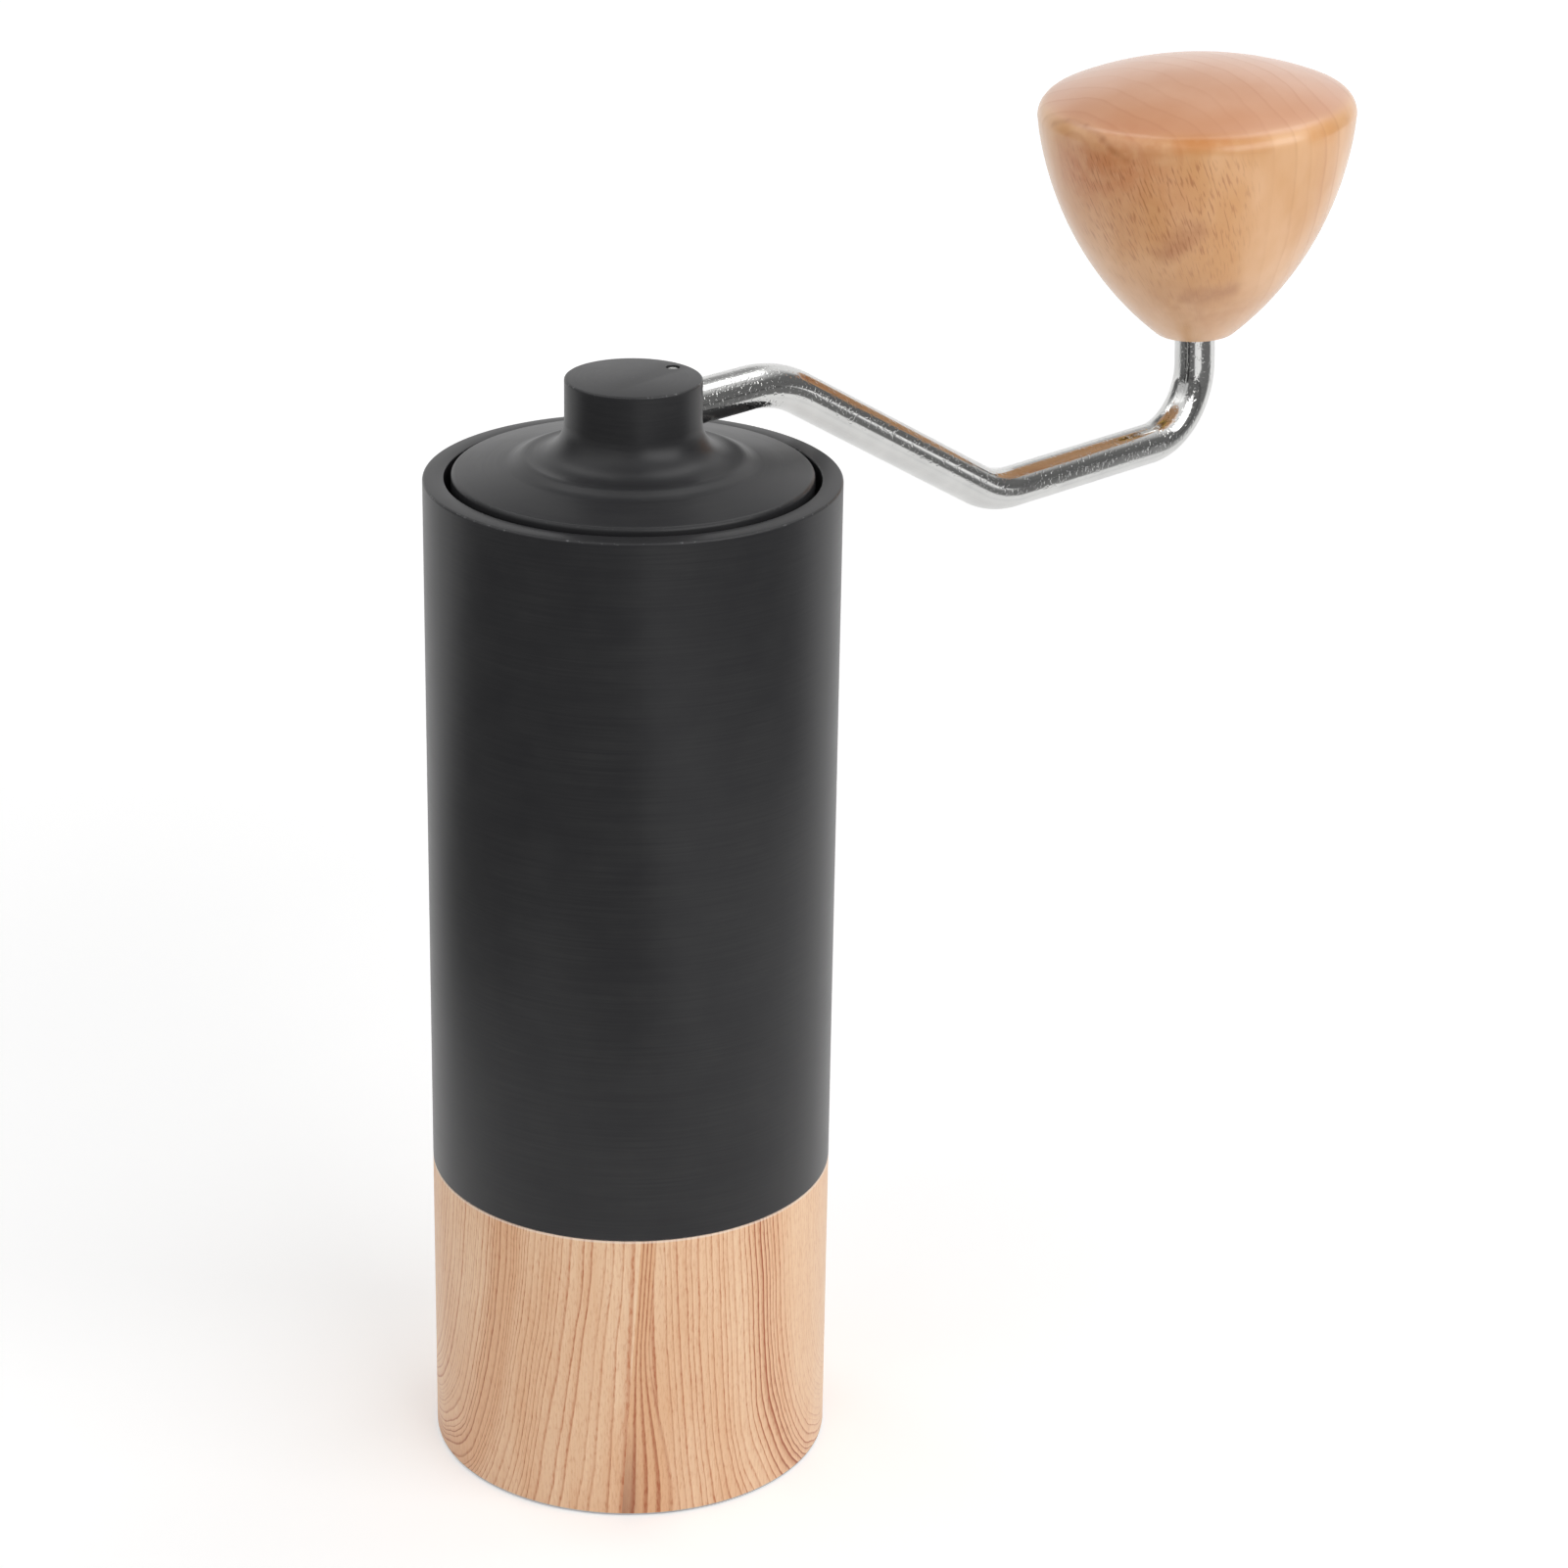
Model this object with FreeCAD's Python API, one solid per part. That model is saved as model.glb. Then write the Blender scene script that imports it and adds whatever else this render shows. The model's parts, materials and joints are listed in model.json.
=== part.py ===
import FreeCAD, Part
import math
import os

# A hand crank coffee grinder: a straight tube on a catch cup, a conical burr set
# inside, and a lid that turns with a bent crank rod and a wooden knob.
# Millimetres. +Z is up the tube's axis, the origin is the middle of the base,
# and the crank points along +X.

# Driving dimensions of the outside
BODY_R = 27.5
SEAM_Z = 42.5
RIM_Z = 140.8
TUBE_WALL = 2.8
ROD_R = 3.0
CRANK_REACH = 113.9
KNOB_R = 23.12
KNOB_HEIGHT = 40.2
HUB_R = 9.0
HUB_TOP_Z = 154.1

# Clearances
SEAT_GAP = 0.03
RUN_GAP = 0.05
FACE_GAP = 0.1

# How far a cutter or an arm runs past the face where it ends
OVERRUN = 1.0

# Tube: three bores, from the mouth down
MOUTH_R = BODY_R - TUBE_WALL
HOPPER_R = MOUTH_R - 0.5
LOWER_R = MOUTH_R + 0.4
BRIDGE_SEAT_Z = 112.0
CARRIER_SEAT_Z = 88.0
RIM_BREAK = 0.3
SEAM_BREAK = 0.2

# Catch cup
CUP_WALL = 2.5
CUP_FLOOR = 2.5
CUP_FLOOR_ROUND = 3.0
CUP_FOOT_BREAK = 0.4
CUP_SHOULDER = 4.0
NECK_TOP_Z = SEAM_Z + 10.0
NECK_R = LOWER_R - FACE_GAP
NECK_BORE_R = 22.0
SEAL_Z = SEAM_Z + 5.5
SEAL_GROOVE_R = NECK_R - 1.5
SEAL_GROOVE_WIDTH = 2.0
SEAL_WIDTH = 1.6
SEAL_ROUND = 0.6

# Ball bearings, 8 x 16 x 5 mm
BEARING_BORE_R = 4.0
BEARING_R = 8.0
BEARING_WIDTH = 5.0
BALL_R = 1.2
BALL_COUNT = 8
BALL_CIRCLE_R = 6.0
RACE_INNER_R = 5.2
RACE_OUTER_R = 6.8
CAGE_HALF_WIDTH = 0.5
CAGE_HALF_HEIGHT = 1.6

# Bearing bridge in the bean space
SPOKE_COUNT = 3
SPOKE_START_DEG = 60.0
SPOKE_WIDTH = 4.0
BEARING_HUB_R = 10.0
BEARING_LIP = 1.5
LIP_BORE_R = 6.2
UPPER_BEARING_Z = BRIDGE_SEAT_Z + 1.0
BRIDGE_TOP_Z = UPPER_BEARING_Z + BEARING_WIDTH + BEARING_LIP
BRIDGE_RIM_R = MOUTH_R - 2.3
CLIP_THICKNESS = 1.2
CLIP_DEPTH = 0.7
CLIP_REACH = 1.8
CLIP_OPENING = 8.0

# Burr carrier, with the funnel above the burrs
CARRIER_BOTTOM_Z = 56.0
BURR_SEAT_Z = 74.0
BURR_R = 23.0
THROAT_R = 16.5
THROAT_TOP_Z = 76.0
FUNNEL_TOP_Z = CARRIER_SEAT_Z - 1.0
LOWER_BEARING_Z = 80.0
LOWER_LIP_Z = LOWER_BEARING_Z - 2.0
SPOKE_TOP_Z = LOWER_BEARING_Z + BEARING_WIDTH + 1.0

# Burr screws, M3
SCREW_COUNT = 3
SCREW_R = 1.5
SCREW_HEAD_R = 2.6
SCREW_HEAD_HEIGHT = 2.6
SCREW_CIRCLE_R = 20.0
SCREW_SEAT_Z = 77.5
SCREW_END_Z = 66.0
SCREW_KEY_R = 1.44

# Burrs
BURR_BOTTOM_Z = 56.2
BURR_WAIST_Z = 66.0
OUTER_WAIST_R = 17.2
OUTER_EXIT_R = 19.3
INNER_TOP_Z = 75.0
INNER_TOP_R = 8.3
INNER_WAIST_R = 14.0
INNER_EXIT_R = 19.0
INNER_FOOT_R = 18.6
INNER_BOTTOM_Z = 54.5
COARSE_COUNT = 7
COARSE_DEPTH = 2.0
COARSE_SKEW_DEG = 28.0
FINE_COUNT = 40
FINE_DEPTH = 0.8
FINE_SKEW_DEG = 18.0

# Shaft
SHAFT_R = BEARING_BORE_R - SEAT_GAP
SHAFT_BARREL_R = 4.8
HEX_ACROSS = 6.5
HEX_START_Z = BRIDGE_TOP_Z
SHAFT_TOP_Z = 139.0
SHAFT_TIP_BREAK = 0.6
FLATS_ACROSS = 7.0
FLATS_TOP_Z = 68.0
STUD_R = 3.0
STUD_TOP_Z = INNER_BOTTOM_Z + 0.8
SHAFT_BOTTOM_Z = 40.5
STUD_CLIP_Z = 41.5
STUD_CLIP_THICKNESS = 0.8
STUD_CLIP_R = 5.0
STUD_CLIP_OPENING = 3.7
STUD_GROOVE_R = 2.3

# Burr spring and its washer
WASHER_THICKNESS = 1.0
WASHER_R = 5.8
SPRING_WIRE_R = 0.5
SPRING_R = 5.15
SPRING_TURNS = 5
SPRING_SEAT_Z = 66.0
SPRING_POCKET_R = 6.3

# Grind dial and its clicks
DIAL_R = 14.0
DIAL_BREAK = 1.0
DIAL_CROWN_R = 11.5
DIAL_TOP_Z = INNER_BOTTOM_Z - 0.2
DIAL_BOTTOM_Z = 46.0
DIAL_GRIP_TOP_Z = 52.0
CLICKS_PER_TURN = 12
SCALLOP_R = 2.2
SCALLOP_DEPTH = 1.0
DETENT_COUNT = 2
DETENT_CIRCLE_R = 9.0
DETENT_BALL_R = 1.25
DETENT_POCKET_R = 1.35
DETENT_POCKET_TOP_Z = 61.5
DETENT_SPRING_R = 0.95
DETENT_WIRE_R = 0.15
DETENT_TURNS = 4

# Lid, from the hub out to the lip
HUB_BREAK = 0.25
HUB_FOOT_Z = 143.75
HUB_FOOT_ROUND = 4.8
SHOULDER_R = 14.5
SHOULDER_Z = 143.65
SHOULDER_ROUND = 2.0
VALLEY_R = 16.2
VALLEY_Z = 142.75
VALLEY_ROUND = 4.0
LIP_R = 23.8
LIP_Z = 141.5
LIP_ROUND = 0.7
LID_BOTTOM_Z = 137.0
SOCKET_R = 7.0
SOCKET_COLLAR_R = 8.2
SOCKET_TOP_Z = 144.0
SOCKET_BOTTOM_Z = 124.0

# Crank rod, bent in the XZ plane
ROD_Z = 148.5
ROD_START_X = -5.5
FIRST_BEND_X = 25.8
SECOND_BEND_X = 70.0
LOW_RUN_Z = 123.0
FIRST_BEND_R = 20.0
SECOND_BEND_R = 16.0
KNOB_BEND_R = 10.0
PIN_X = 7.0
PIN_R = 0.9
PIN_TOP_Z = HUB_TOP_Z - 0.15
PIN_BOTTOM_Z = 144.6

# Knob, along its own leaning axis from the flat underneath
KNOB_LEAN_DEG = 4.0
KNOB_BOTTOM_Z = 138.8
KNOB_FOOT_R = 6.0
KNOB_WIDEST = 32.7
KNOB_FLANK_BULGE = 3.45
KNOB_EDGE_R = 21.25
KNOB_EDGE_HEIGHT = 35.8
KNOB_EDGE_BULGE = 0.6
KNOB_FOOT_BREAK = 0.5
BUSH_R = 4.5
BUSH_START = 0.8
BUSH_END = 20.8
KNOB_CLIP_START = 21.0
KNOB_CLIP_THICKNESS = 0.9
KNOB_CLIP_R = 4.2
KNOB_CLIP_OPENING = 2.4
KNOB_GROOVE_R = 2.4
KNOB_STEP = 22.1
ROD_TIP = 25.0
KNOB_BORE_END = 26.0

ORIGIN = FreeCAD.Vector(0, 0, 0)
UP = FreeCAD.Vector(0, 0, 1)
OUT = FreeCAD.Vector(1, 0, 0)
PART_DIR = "parts"


# Shared shapes


def at(r, z):
    """A point of the XZ plane, where every turned outline is drawn."""
    return FreeCAD.Vector(r, 0, z)


def unit(vector):
    """The same direction with a length of one."""
    copy = FreeCAD.Vector(vector)
    return copy.normalize()


def corner(before, point, after, radius):
    """The arc that rounds one corner, as its two ends and its middle."""
    back = unit(before.sub(point))
    ahead = unit(after.sub(point))
    half = back.getAngle(ahead) / 2
    reach = radius / math.tan(half)
    bisector = unit(back.add(ahead))
    start = point.add(back * reach)
    end = point.add(ahead * reach)
    middle = point.add(bisector * (radius / math.sin(half) - radius))
    return start, middle, end


def rounded_path(points, radii):
    """Straight runs through the points, each inner corner an arc of its radius."""
    edges = []
    pen = points[0]
    for index in range(1, len(points) - 1):
        radius = radii[index - 1]
        if radius == 0:
            edges.append(Part.makeLine(pen, points[index]))
            pen = points[index]
            continue
        start, middle, end = corner(points[index - 1], points[index], points[index + 1], radius)
        edges.append(Part.makeLine(pen, start))
        edges.append(Part.Arc(start, middle, end).toShape())
        pen = end
    edges.append(Part.makeLine(pen, points[-1]))
    return edges


def turned_edges(edges):
    """The solid that a closed outline sweeps about the Z axis."""
    face = Part.Face(Part.Wire(edges))
    return face.revolve(ORIGIN, UP, 360)


def turned(outline):
    """A turned solid from (radius, height) corners."""
    points = [at(r, z) for r, z in outline]
    points.append(points[0])
    return turned_edges(Part.makePolygon(points).Edges)


def ring(inner_r, outer_r, bottom_z, top_z):
    """A plain ring about the Z axis."""
    return turned([(inner_r, bottom_z), (outer_r, bottom_z), (outer_r, top_z), (inner_r, top_z)])


def rod(radius, bottom_z, top_z, x=0.0):
    """An upright cylinder, on the Z axis or out along X."""
    return Part.makeCylinder(radius, top_z - bottom_z, at(x, bottom_z))


def spun(shape, degrees):
    """A copy turned about the Z axis."""
    copy = shape.copy()
    copy.rotate(ORIGIN, UP, degrees)
    return copy


def round_the_axis(shape, count, start_deg=0.0):
    """Evenly spaced copies about the Z axis."""
    return [spun(shape, start_deg + index * 360.0 / count) for index in range(count)]


def hexagon(across_flats, bottom_z, top_z):
    """An upright hexagonal bar with two flats square to Y."""
    sides = 6
    corner_r = across_flats / math.sqrt(3)
    points = []
    for index in range(sides + 1):
        angle = 2 * math.pi * index / sides
        points.append(FreeCAD.Vector(corner_r * math.cos(angle), corner_r * math.sin(angle), bottom_z))
    return Part.Face(Part.makePolygon(points)).extrude(UP * (top_z - bottom_z))


def two_flats(radius, across_flats, bottom_z, top_z):
    """An upright bar with two flats, square to Y."""
    slab = Part.makeBox(4 * radius, across_flats, top_z - bottom_z)
    slab.translate(FreeCAD.Vector(-2 * radius, -across_flats / 2, bottom_z))
    return rod(radius, bottom_z, top_z).common(slab)


def open_ring(inner_r, outer_r, bottom_z, thickness, opening):
    """A snap ring with a gap on the +X side."""
    blank = ring(inner_r, outer_r, bottom_z, bottom_z + thickness)
    gap = Part.makeBox(outer_r + OVERRUN, opening, thickness + 2 * OVERRUN)
    gap.translate(FreeCAD.Vector(0, -opening / 2, bottom_z - OVERRUN))
    return blank.cut(gap)


def coil(mean_r, wire_r, bottom_z, top_z, turns):
    """A round wire spring, its line drawn in arcs of half a turn."""
    rise = (top_z - bottom_z - 2 * wire_r) / (2 * turns)
    start_z = bottom_z + wire_r
    edges = []
    for index in range(2 * turns):
        ends = []
        for share in (0.0, 0.5, 1.0):
            angle = math.pi * (index + share)
            height = start_z + rise * (index + share)
            ends.append(FreeCAD.Vector(mean_r * math.cos(angle), mean_r * math.sin(angle), height))
        edges.append(Part.Arc(ends[0], ends[1], ends[2]).toShape())
    path = Part.Wire(edges)
    circle = Part.makeCircle(wire_r, at(mean_r, start_z), path.Edges[0].tangentAt(0))
    return path.makePipeShell([Part.Wire([circle])], True, False)


def v_groove(bottom, top, depth, skew_deg, outside):
    """A square V cutter along the slant from bottom to top, skewed across it."""
    slant = unit(top.sub(bottom))
    outward = FreeCAD.Vector(slant.z, 0, -slant.x)
    if not outside:
        outward = outward * -1
    length = top.sub(bottom).Length
    root = bottom.sub(outward * depth)
    side = FreeCAD.Vector(0, depth * 2, 0)
    mouth = bottom.add(outward * depth)
    outline = [root, mouth.add(side), mouth.sub(side), root]
    wedge = Part.Face(Part.makePolygon(outline)).extrude(slant * length)
    wedge.rotate(bottom.add(top) * 0.5, outward, skew_deg)
    return wedge


# Catch cup


def catch_cup():
    """The cup with its neck, the seal's groove and a rounded floor inside."""
    inside_r = BODY_R - CUP_WALL
    outline = [
        at(0, 0),
        at(BODY_R - CUP_FOOT_BREAK, 0),
        at(BODY_R, CUP_FOOT_BREAK),
        at(BODY_R, SEAM_Z - SEAM_BREAK),
        at(BODY_R - SEAM_BREAK, SEAM_Z),
        at(NECK_R, SEAM_Z),
        at(NECK_R, SEAL_Z - SEAL_GROOVE_WIDTH / 2),
        at(SEAL_GROOVE_R, SEAL_Z - SEAL_GROOVE_WIDTH / 2),
        at(SEAL_GROOVE_R, SEAL_Z + SEAL_GROOVE_WIDTH / 2),
        at(NECK_R, SEAL_Z + SEAL_GROOVE_WIDTH / 2),
        at(NECK_R, NECK_TOP_Z),
        at(NECK_BORE_R, NECK_TOP_Z),
        at(NECK_BORE_R, SEAM_Z),
        at(inside_r, SEAM_Z - CUP_SHOULDER),
        at(inside_r, CUP_FLOOR),
        at(0, CUP_FLOOR),
        at(0, 0),
    ]
    radii = [0] * (len(outline) - 2)
    radii[outline.index(at(inside_r, CUP_FLOOR)) - 1] = CUP_FLOOR_ROUND
    return turned_edges(rounded_path(outline, radii))


def cup_seal():
    """The rubber ring, flat where it sits in its groove."""
    low_z = SEAL_Z - SEAL_WIDTH / 2
    high_z = SEAL_Z + SEAL_WIDTH / 2
    outer_r = LOWER_R - SEAT_GAP
    middle = at(outer_r, SEAL_Z)
    outline = [
        middle,
        at(outer_r, high_z),
        at(SEAL_GROOVE_R, high_z),
        at(SEAL_GROOVE_R, low_z),
        at(outer_r, low_z),
        middle,
    ]
    return turned_edges(rounded_path(outline, [SEAL_ROUND] * 4))


# Body tube and what is fixed in it


def clip_groove(bottom_z, wall_r):
    """The groove in the tube's bore for a snap ring."""
    return ring(wall_r - OVERRUN, wall_r + CLIP_DEPTH, bottom_z, bottom_z + CLIP_THICKNESS)


def bore_clip(bottom_z, wall_r):
    """The snap ring that sits in such a groove."""
    outer_r = wall_r + CLIP_DEPTH - SEAT_GAP
    return open_ring(wall_r - CLIP_REACH, outer_r, bottom_z, CLIP_THICKNESS, CLIP_OPENING)


def body_tube():
    """The straight outer tube with its stepped bore and two ring grooves."""
    blank = turned([
        (LOWER_R, SEAM_Z),
        (BODY_R - SEAM_BREAK, SEAM_Z),
        (BODY_R, SEAM_Z + SEAM_BREAK),
        (BODY_R, RIM_Z - RIM_BREAK),
        (BODY_R - RIM_BREAK, RIM_Z),
        (MOUTH_R + SEAM_BREAK, RIM_Z),
        (MOUTH_R, RIM_Z - SEAM_BREAK),
        (MOUTH_R, BRIDGE_SEAT_Z),
        (HOPPER_R, BRIDGE_SEAT_Z),
        (HOPPER_R, CARRIER_SEAT_Z),
        (LOWER_R, CARRIER_SEAT_Z),
    ])
    blank = blank.cut(clip_groove(BRIDGE_TOP_Z, MOUTH_R))
    return blank.cut(clip_groove(CARRIER_BOTTOM_Z - CLIP_THICKNESS, LOWER_R))


def spokes(start_r, end_r, bottom_z, top_z):
    """Straight arms from a bearing hub out to a rim."""
    arm = Part.makeBox(end_r - start_r, SPOKE_WIDTH, top_z - bottom_z)
    arm.translate(FreeCAD.Vector(start_r, -SPOKE_WIDTH / 2, bottom_z))
    return round_the_axis(arm, SPOKE_COUNT, SPOKE_START_DEG)


def upper_bridge():
    """The spoked bridge; its bearing pocket opens downwards."""
    rim_r = MOUTH_R - SEAT_GAP
    body = ring(BRIDGE_RIM_R, rim_r, BRIDGE_SEAT_Z, BRIDGE_TOP_Z)
    body = body.fuse(rod(BEARING_HUB_R, BRIDGE_SEAT_Z, BRIDGE_TOP_Z))
    start_r = BEARING_HUB_R - OVERRUN
    end_r = BRIDGE_RIM_R + OVERRUN
    for arm in spokes(start_r, end_r, BRIDGE_SEAT_Z + BEARING_LIP, BRIDGE_TOP_Z - BEARING_LIP):
        body = body.fuse(arm)
    pocket_top_z = UPPER_BEARING_Z + BEARING_WIDTH
    body = body.cut(rod(BEARING_R + SEAT_GAP, BRIDGE_SEAT_Z, pocket_top_z))
    return body.cut(rod(LIP_BORE_R, BRIDGE_SEAT_Z, BRIDGE_TOP_Z)).removeSplitter()


def burr_carrier():
    """The funnel with the lower bearing's hub and the seat of the outer burr."""
    wall_r = LOWER_R - SEAT_GAP
    body = turned([
        (BURR_R + SEAT_GAP, CARRIER_BOTTOM_Z),
        (wall_r, CARRIER_BOTTOM_Z),
        (wall_r, CARRIER_SEAT_Z),
        (HOPPER_R, CARRIER_SEAT_Z),
        (HOPPER_R, FUNNEL_TOP_Z),
        (THROAT_R, THROAT_TOP_Z),
        (THROAT_R, BURR_SEAT_Z),
        (BURR_R + SEAT_GAP, BURR_SEAT_Z),
    ])
    body = body.fuse(rod(BEARING_HUB_R, LOWER_LIP_Z, SPOKE_TOP_Z))
    for arm in spokes(BEARING_HUB_R - OVERRUN, HOPPER_R + SEAT_GAP, LOWER_LIP_Z, SPOKE_TOP_Z):
        body = body.fuse(arm)
    body = body.cut(rod(BEARING_R + SEAT_GAP, LOWER_BEARING_Z, SPOKE_TOP_Z))
    body = body.cut(rod(LIP_BORE_R, LOWER_LIP_Z, SPOKE_TOP_Z))
    hole = rod(SCREW_R + FACE_GAP, BURR_SEAT_Z, SCREW_SEAT_Z, SCREW_CIRCLE_R)
    counterbore = rod(SCREW_HEAD_R + FACE_GAP, SCREW_SEAT_Z, CARRIER_SEAT_Z, SCREW_CIRCLE_R)
    for cutter in round_the_axis(hole.fuse(counterbore), SCREW_COUNT):
        body = body.cut(cutter)
    return body.removeSplitter()


def burr_screws():
    """Three socket screws, from the funnel down into the outer burr."""
    screw = rod(SCREW_R, SCREW_END_Z, SCREW_SEAT_Z, SCREW_CIRCLE_R)
    head_top_z = SCREW_SEAT_Z + SCREW_HEAD_HEIGHT
    screw = screw.fuse(rod(SCREW_HEAD_R, SCREW_SEAT_Z, head_top_z, SCREW_CIRCLE_R))
    key = hexagon(SCREW_KEY_R * math.sqrt(3), head_top_z - SCREW_R, head_top_z)
    key.translate(FreeCAD.Vector(SCREW_CIRCLE_R, 0, 0))
    return Part.makeCompound(round_the_axis(screw.cut(key), SCREW_COUNT))


# Bearings


def bearing(bottom_z):
    """The four kinds of piece of one ball bearing, about the shaft."""
    top_z = bottom_z + BEARING_WIDTH
    middle_z = bottom_z + BEARING_WIDTH / 2
    race = Part.makeTorus(BALL_CIRCLE_R, BALL_R + RUN_GAP, FreeCAD.Vector(0, 0, middle_z))
    outer = ring(RACE_OUTER_R, BEARING_R, bottom_z, top_z).cut(race)
    inner = ring(BEARING_BORE_R, RACE_INNER_R, bottom_z, top_z).cut(race)
    place = FreeCAD.Vector(BALL_CIRCLE_R, 0, middle_z)
    balls = round_the_axis(Part.makeSphere(BALL_R, place), BALL_COUNT)
    cage = ring(
        BALL_CIRCLE_R - CAGE_HALF_WIDTH,
        BALL_CIRCLE_R + CAGE_HALF_WIDTH,
        middle_z - CAGE_HALF_HEIGHT,
        middle_z + CAGE_HALF_HEIGHT,
    )
    drill = Part.makeCylinder(BALL_R + RUN_GAP, BEARING_R, at(0, middle_z), OUT)
    for pocket in round_the_axis(drill, BALL_COUNT):
        cage = cage.cut(pocket)
    return {"outer": outer, "inner": inner, "balls": Part.makeCompound(balls), "cage": cage}


# Shaft and burrs


def drive_shaft():
    """The shaft: stud, flats, two bearing seats with the barrel between, hexagon."""
    barrel_bottom_z = LOWER_BEARING_Z + BEARING_WIDTH
    shaft = rod(STUD_R, SHAFT_BOTTOM_Z, STUD_TOP_Z)
    shaft = shaft.fuse(two_flats(SHAFT_R, FLATS_ACROSS, STUD_TOP_Z, FLATS_TOP_Z))
    shaft = shaft.fuse(rod(SHAFT_R, FLATS_TOP_Z, barrel_bottom_z))
    shaft = shaft.fuse(rod(SHAFT_BARREL_R, barrel_bottom_z, UPPER_BEARING_Z))
    shaft = shaft.fuse(rod(SHAFT_R, UPPER_BEARING_Z, HEX_START_Z))
    corner_r = HEX_ACROSS / math.sqrt(3)
    tip = turned([
        (0, HEX_START_Z),
        (corner_r, HEX_START_Z),
        (corner_r, SHAFT_TOP_Z - SHAFT_TIP_BREAK),
        (corner_r - SHAFT_TIP_BREAK, SHAFT_TOP_Z),
        (0, SHAFT_TOP_Z),
    ])
    shaft = shaft.fuse(hexagon(HEX_ACROSS, HEX_START_Z, SHAFT_TOP_Z).common(tip))
    groove_top_z = STUD_CLIP_Z + STUD_CLIP_THICKNESS
    shaft = shaft.cut(ring(STUD_GROOVE_R, STUD_R + OVERRUN, STUD_CLIP_Z, groove_top_z))
    return shaft.removeSplitter()


def shaft_clip():
    """The snap ring at the bottom of the stud."""
    inner_r = STUD_GROOVE_R + SEAT_GAP
    return open_ring(inner_r, STUD_CLIP_R, STUD_CLIP_Z, STUD_CLIP_THICKNESS, STUD_CLIP_OPENING)


def spring_washer():
    """The washer under the lower bearing's inner ring."""
    bottom_z = LOWER_BEARING_Z - WASHER_THICKNESS
    return ring(BEARING_BORE_R + RUN_GAP, WASHER_R, bottom_z, LOWER_BEARING_Z)


def burr_spring():
    """The spring from the washer down to its pocket in the inner burr."""
    top_z = LOWER_BEARING_Z - WASHER_THICKNESS
    return coil(SPRING_R, SPRING_WIRE_R, SPRING_SEAT_Z, top_z, SPRING_TURNS)


def outer_burr():
    """The toothed ring: coarse grooves at the throat, fine ones at the exit."""
    ring_blank = turned([
        (OUTER_EXIT_R, BURR_BOTTOM_Z),
        (BURR_R, BURR_BOTTOM_Z),
        (BURR_R, BURR_SEAT_Z),
        (THROAT_R, BURR_SEAT_Z),
        (OUTER_WAIST_R, BURR_WAIST_Z),
    ])
    waist = at(OUTER_WAIST_R, BURR_WAIST_Z)
    throat = at(THROAT_R, BURR_SEAT_Z + OVERRUN)
    way_out = at(OUTER_EXIT_R, BURR_BOTTOM_Z - OVERRUN)
    coarse = v_groove(waist, throat, COARSE_DEPTH / 2, COARSE_SKEW_DEG, False)
    fine = v_groove(way_out, waist, FINE_DEPTH, FINE_SKEW_DEG, False)
    half_step = 180.0 / (2 * COARSE_COUNT)
    grooves = round_the_axis(coarse, 2 * COARSE_COUNT, half_step)
    grooves.extend(round_the_axis(fine, FINE_COUNT))
    ring_blank = ring_blank.cut(Part.makeCompound(grooves))
    thread = rod(SCREW_R + SEAT_GAP, SCREW_END_Z - OVERRUN, BURR_SEAT_Z, SCREW_CIRCLE_R)
    return ring_blank.cut(Part.makeCompound(round_the_axis(thread, SCREW_COUNT)))


def inner_burr():
    """The toothed cone with its bore, spring pocket and two detent pockets."""
    cone = turned([
        (0, INNER_BOTTOM_Z),
        (INNER_FOOT_R, INNER_BOTTOM_Z),
        (INNER_EXIT_R, BURR_BOTTOM_Z),
        (INNER_WAIST_R, BURR_WAIST_Z),
        (INNER_TOP_R, INNER_TOP_Z),
        (0, INNER_TOP_Z),
    ])
    waist = at(INNER_WAIST_R, BURR_WAIST_Z)
    tip = at(INNER_TOP_R, INNER_TOP_Z + OVERRUN)
    coarse = v_groove(waist, tip, COARSE_DEPTH, COARSE_SKEW_DEG, True)
    fine = v_groove(at(INNER_EXIT_R, BURR_BOTTOM_Z), waist, FINE_DEPTH, FINE_SKEW_DEG, True)
    grooves = round_the_axis(coarse, COARSE_COUNT)
    grooves.extend(round_the_axis(fine, FINE_COUNT))
    cone = cone.cut(Part.makeCompound(grooves))
    keyway = two_flats(SHAFT_R + RUN_GAP, FLATS_ACROSS + 2 * RUN_GAP, INNER_BOTTOM_Z, SPRING_SEAT_Z)
    cone = cone.cut(keyway)
    cone = cone.cut(rod(SPRING_POCKET_R, SPRING_SEAT_Z, INNER_TOP_Z))
    pocket = rod(DETENT_POCKET_R, INNER_BOTTOM_Z, DETENT_POCKET_TOP_Z, DETENT_CIRCLE_R)
    return cone.cut(Part.makeCompound(round_the_axis(pocket, DETENT_COUNT)))


# Grind dial


def detent_ball_z():
    """The height of the detent balls' middles, just clear of the dial."""
    return DIAL_TOP_Z + FACE_GAP + DETENT_BALL_R


def detent_balls():
    """The two balls under the inner burr."""
    ball = Part.makeSphere(DETENT_BALL_R, at(DETENT_CIRCLE_R, detent_ball_z()))
    return Part.makeCompound(round_the_axis(ball, DETENT_COUNT))


def detent_springs():
    """The two small springs above the balls."""
    bottom_z = detent_ball_z() + DETENT_BALL_R
    spring = coil(DETENT_SPRING_R, DETENT_WIRE_R, bottom_z, DETENT_POCKET_TOP_Z, DETENT_TURNS)
    spring.translate(FreeCAD.Vector(DETENT_CIRCLE_R, 0, 0))
    return Part.makeCompound(round_the_axis(spring, DETENT_COUNT))


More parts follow.
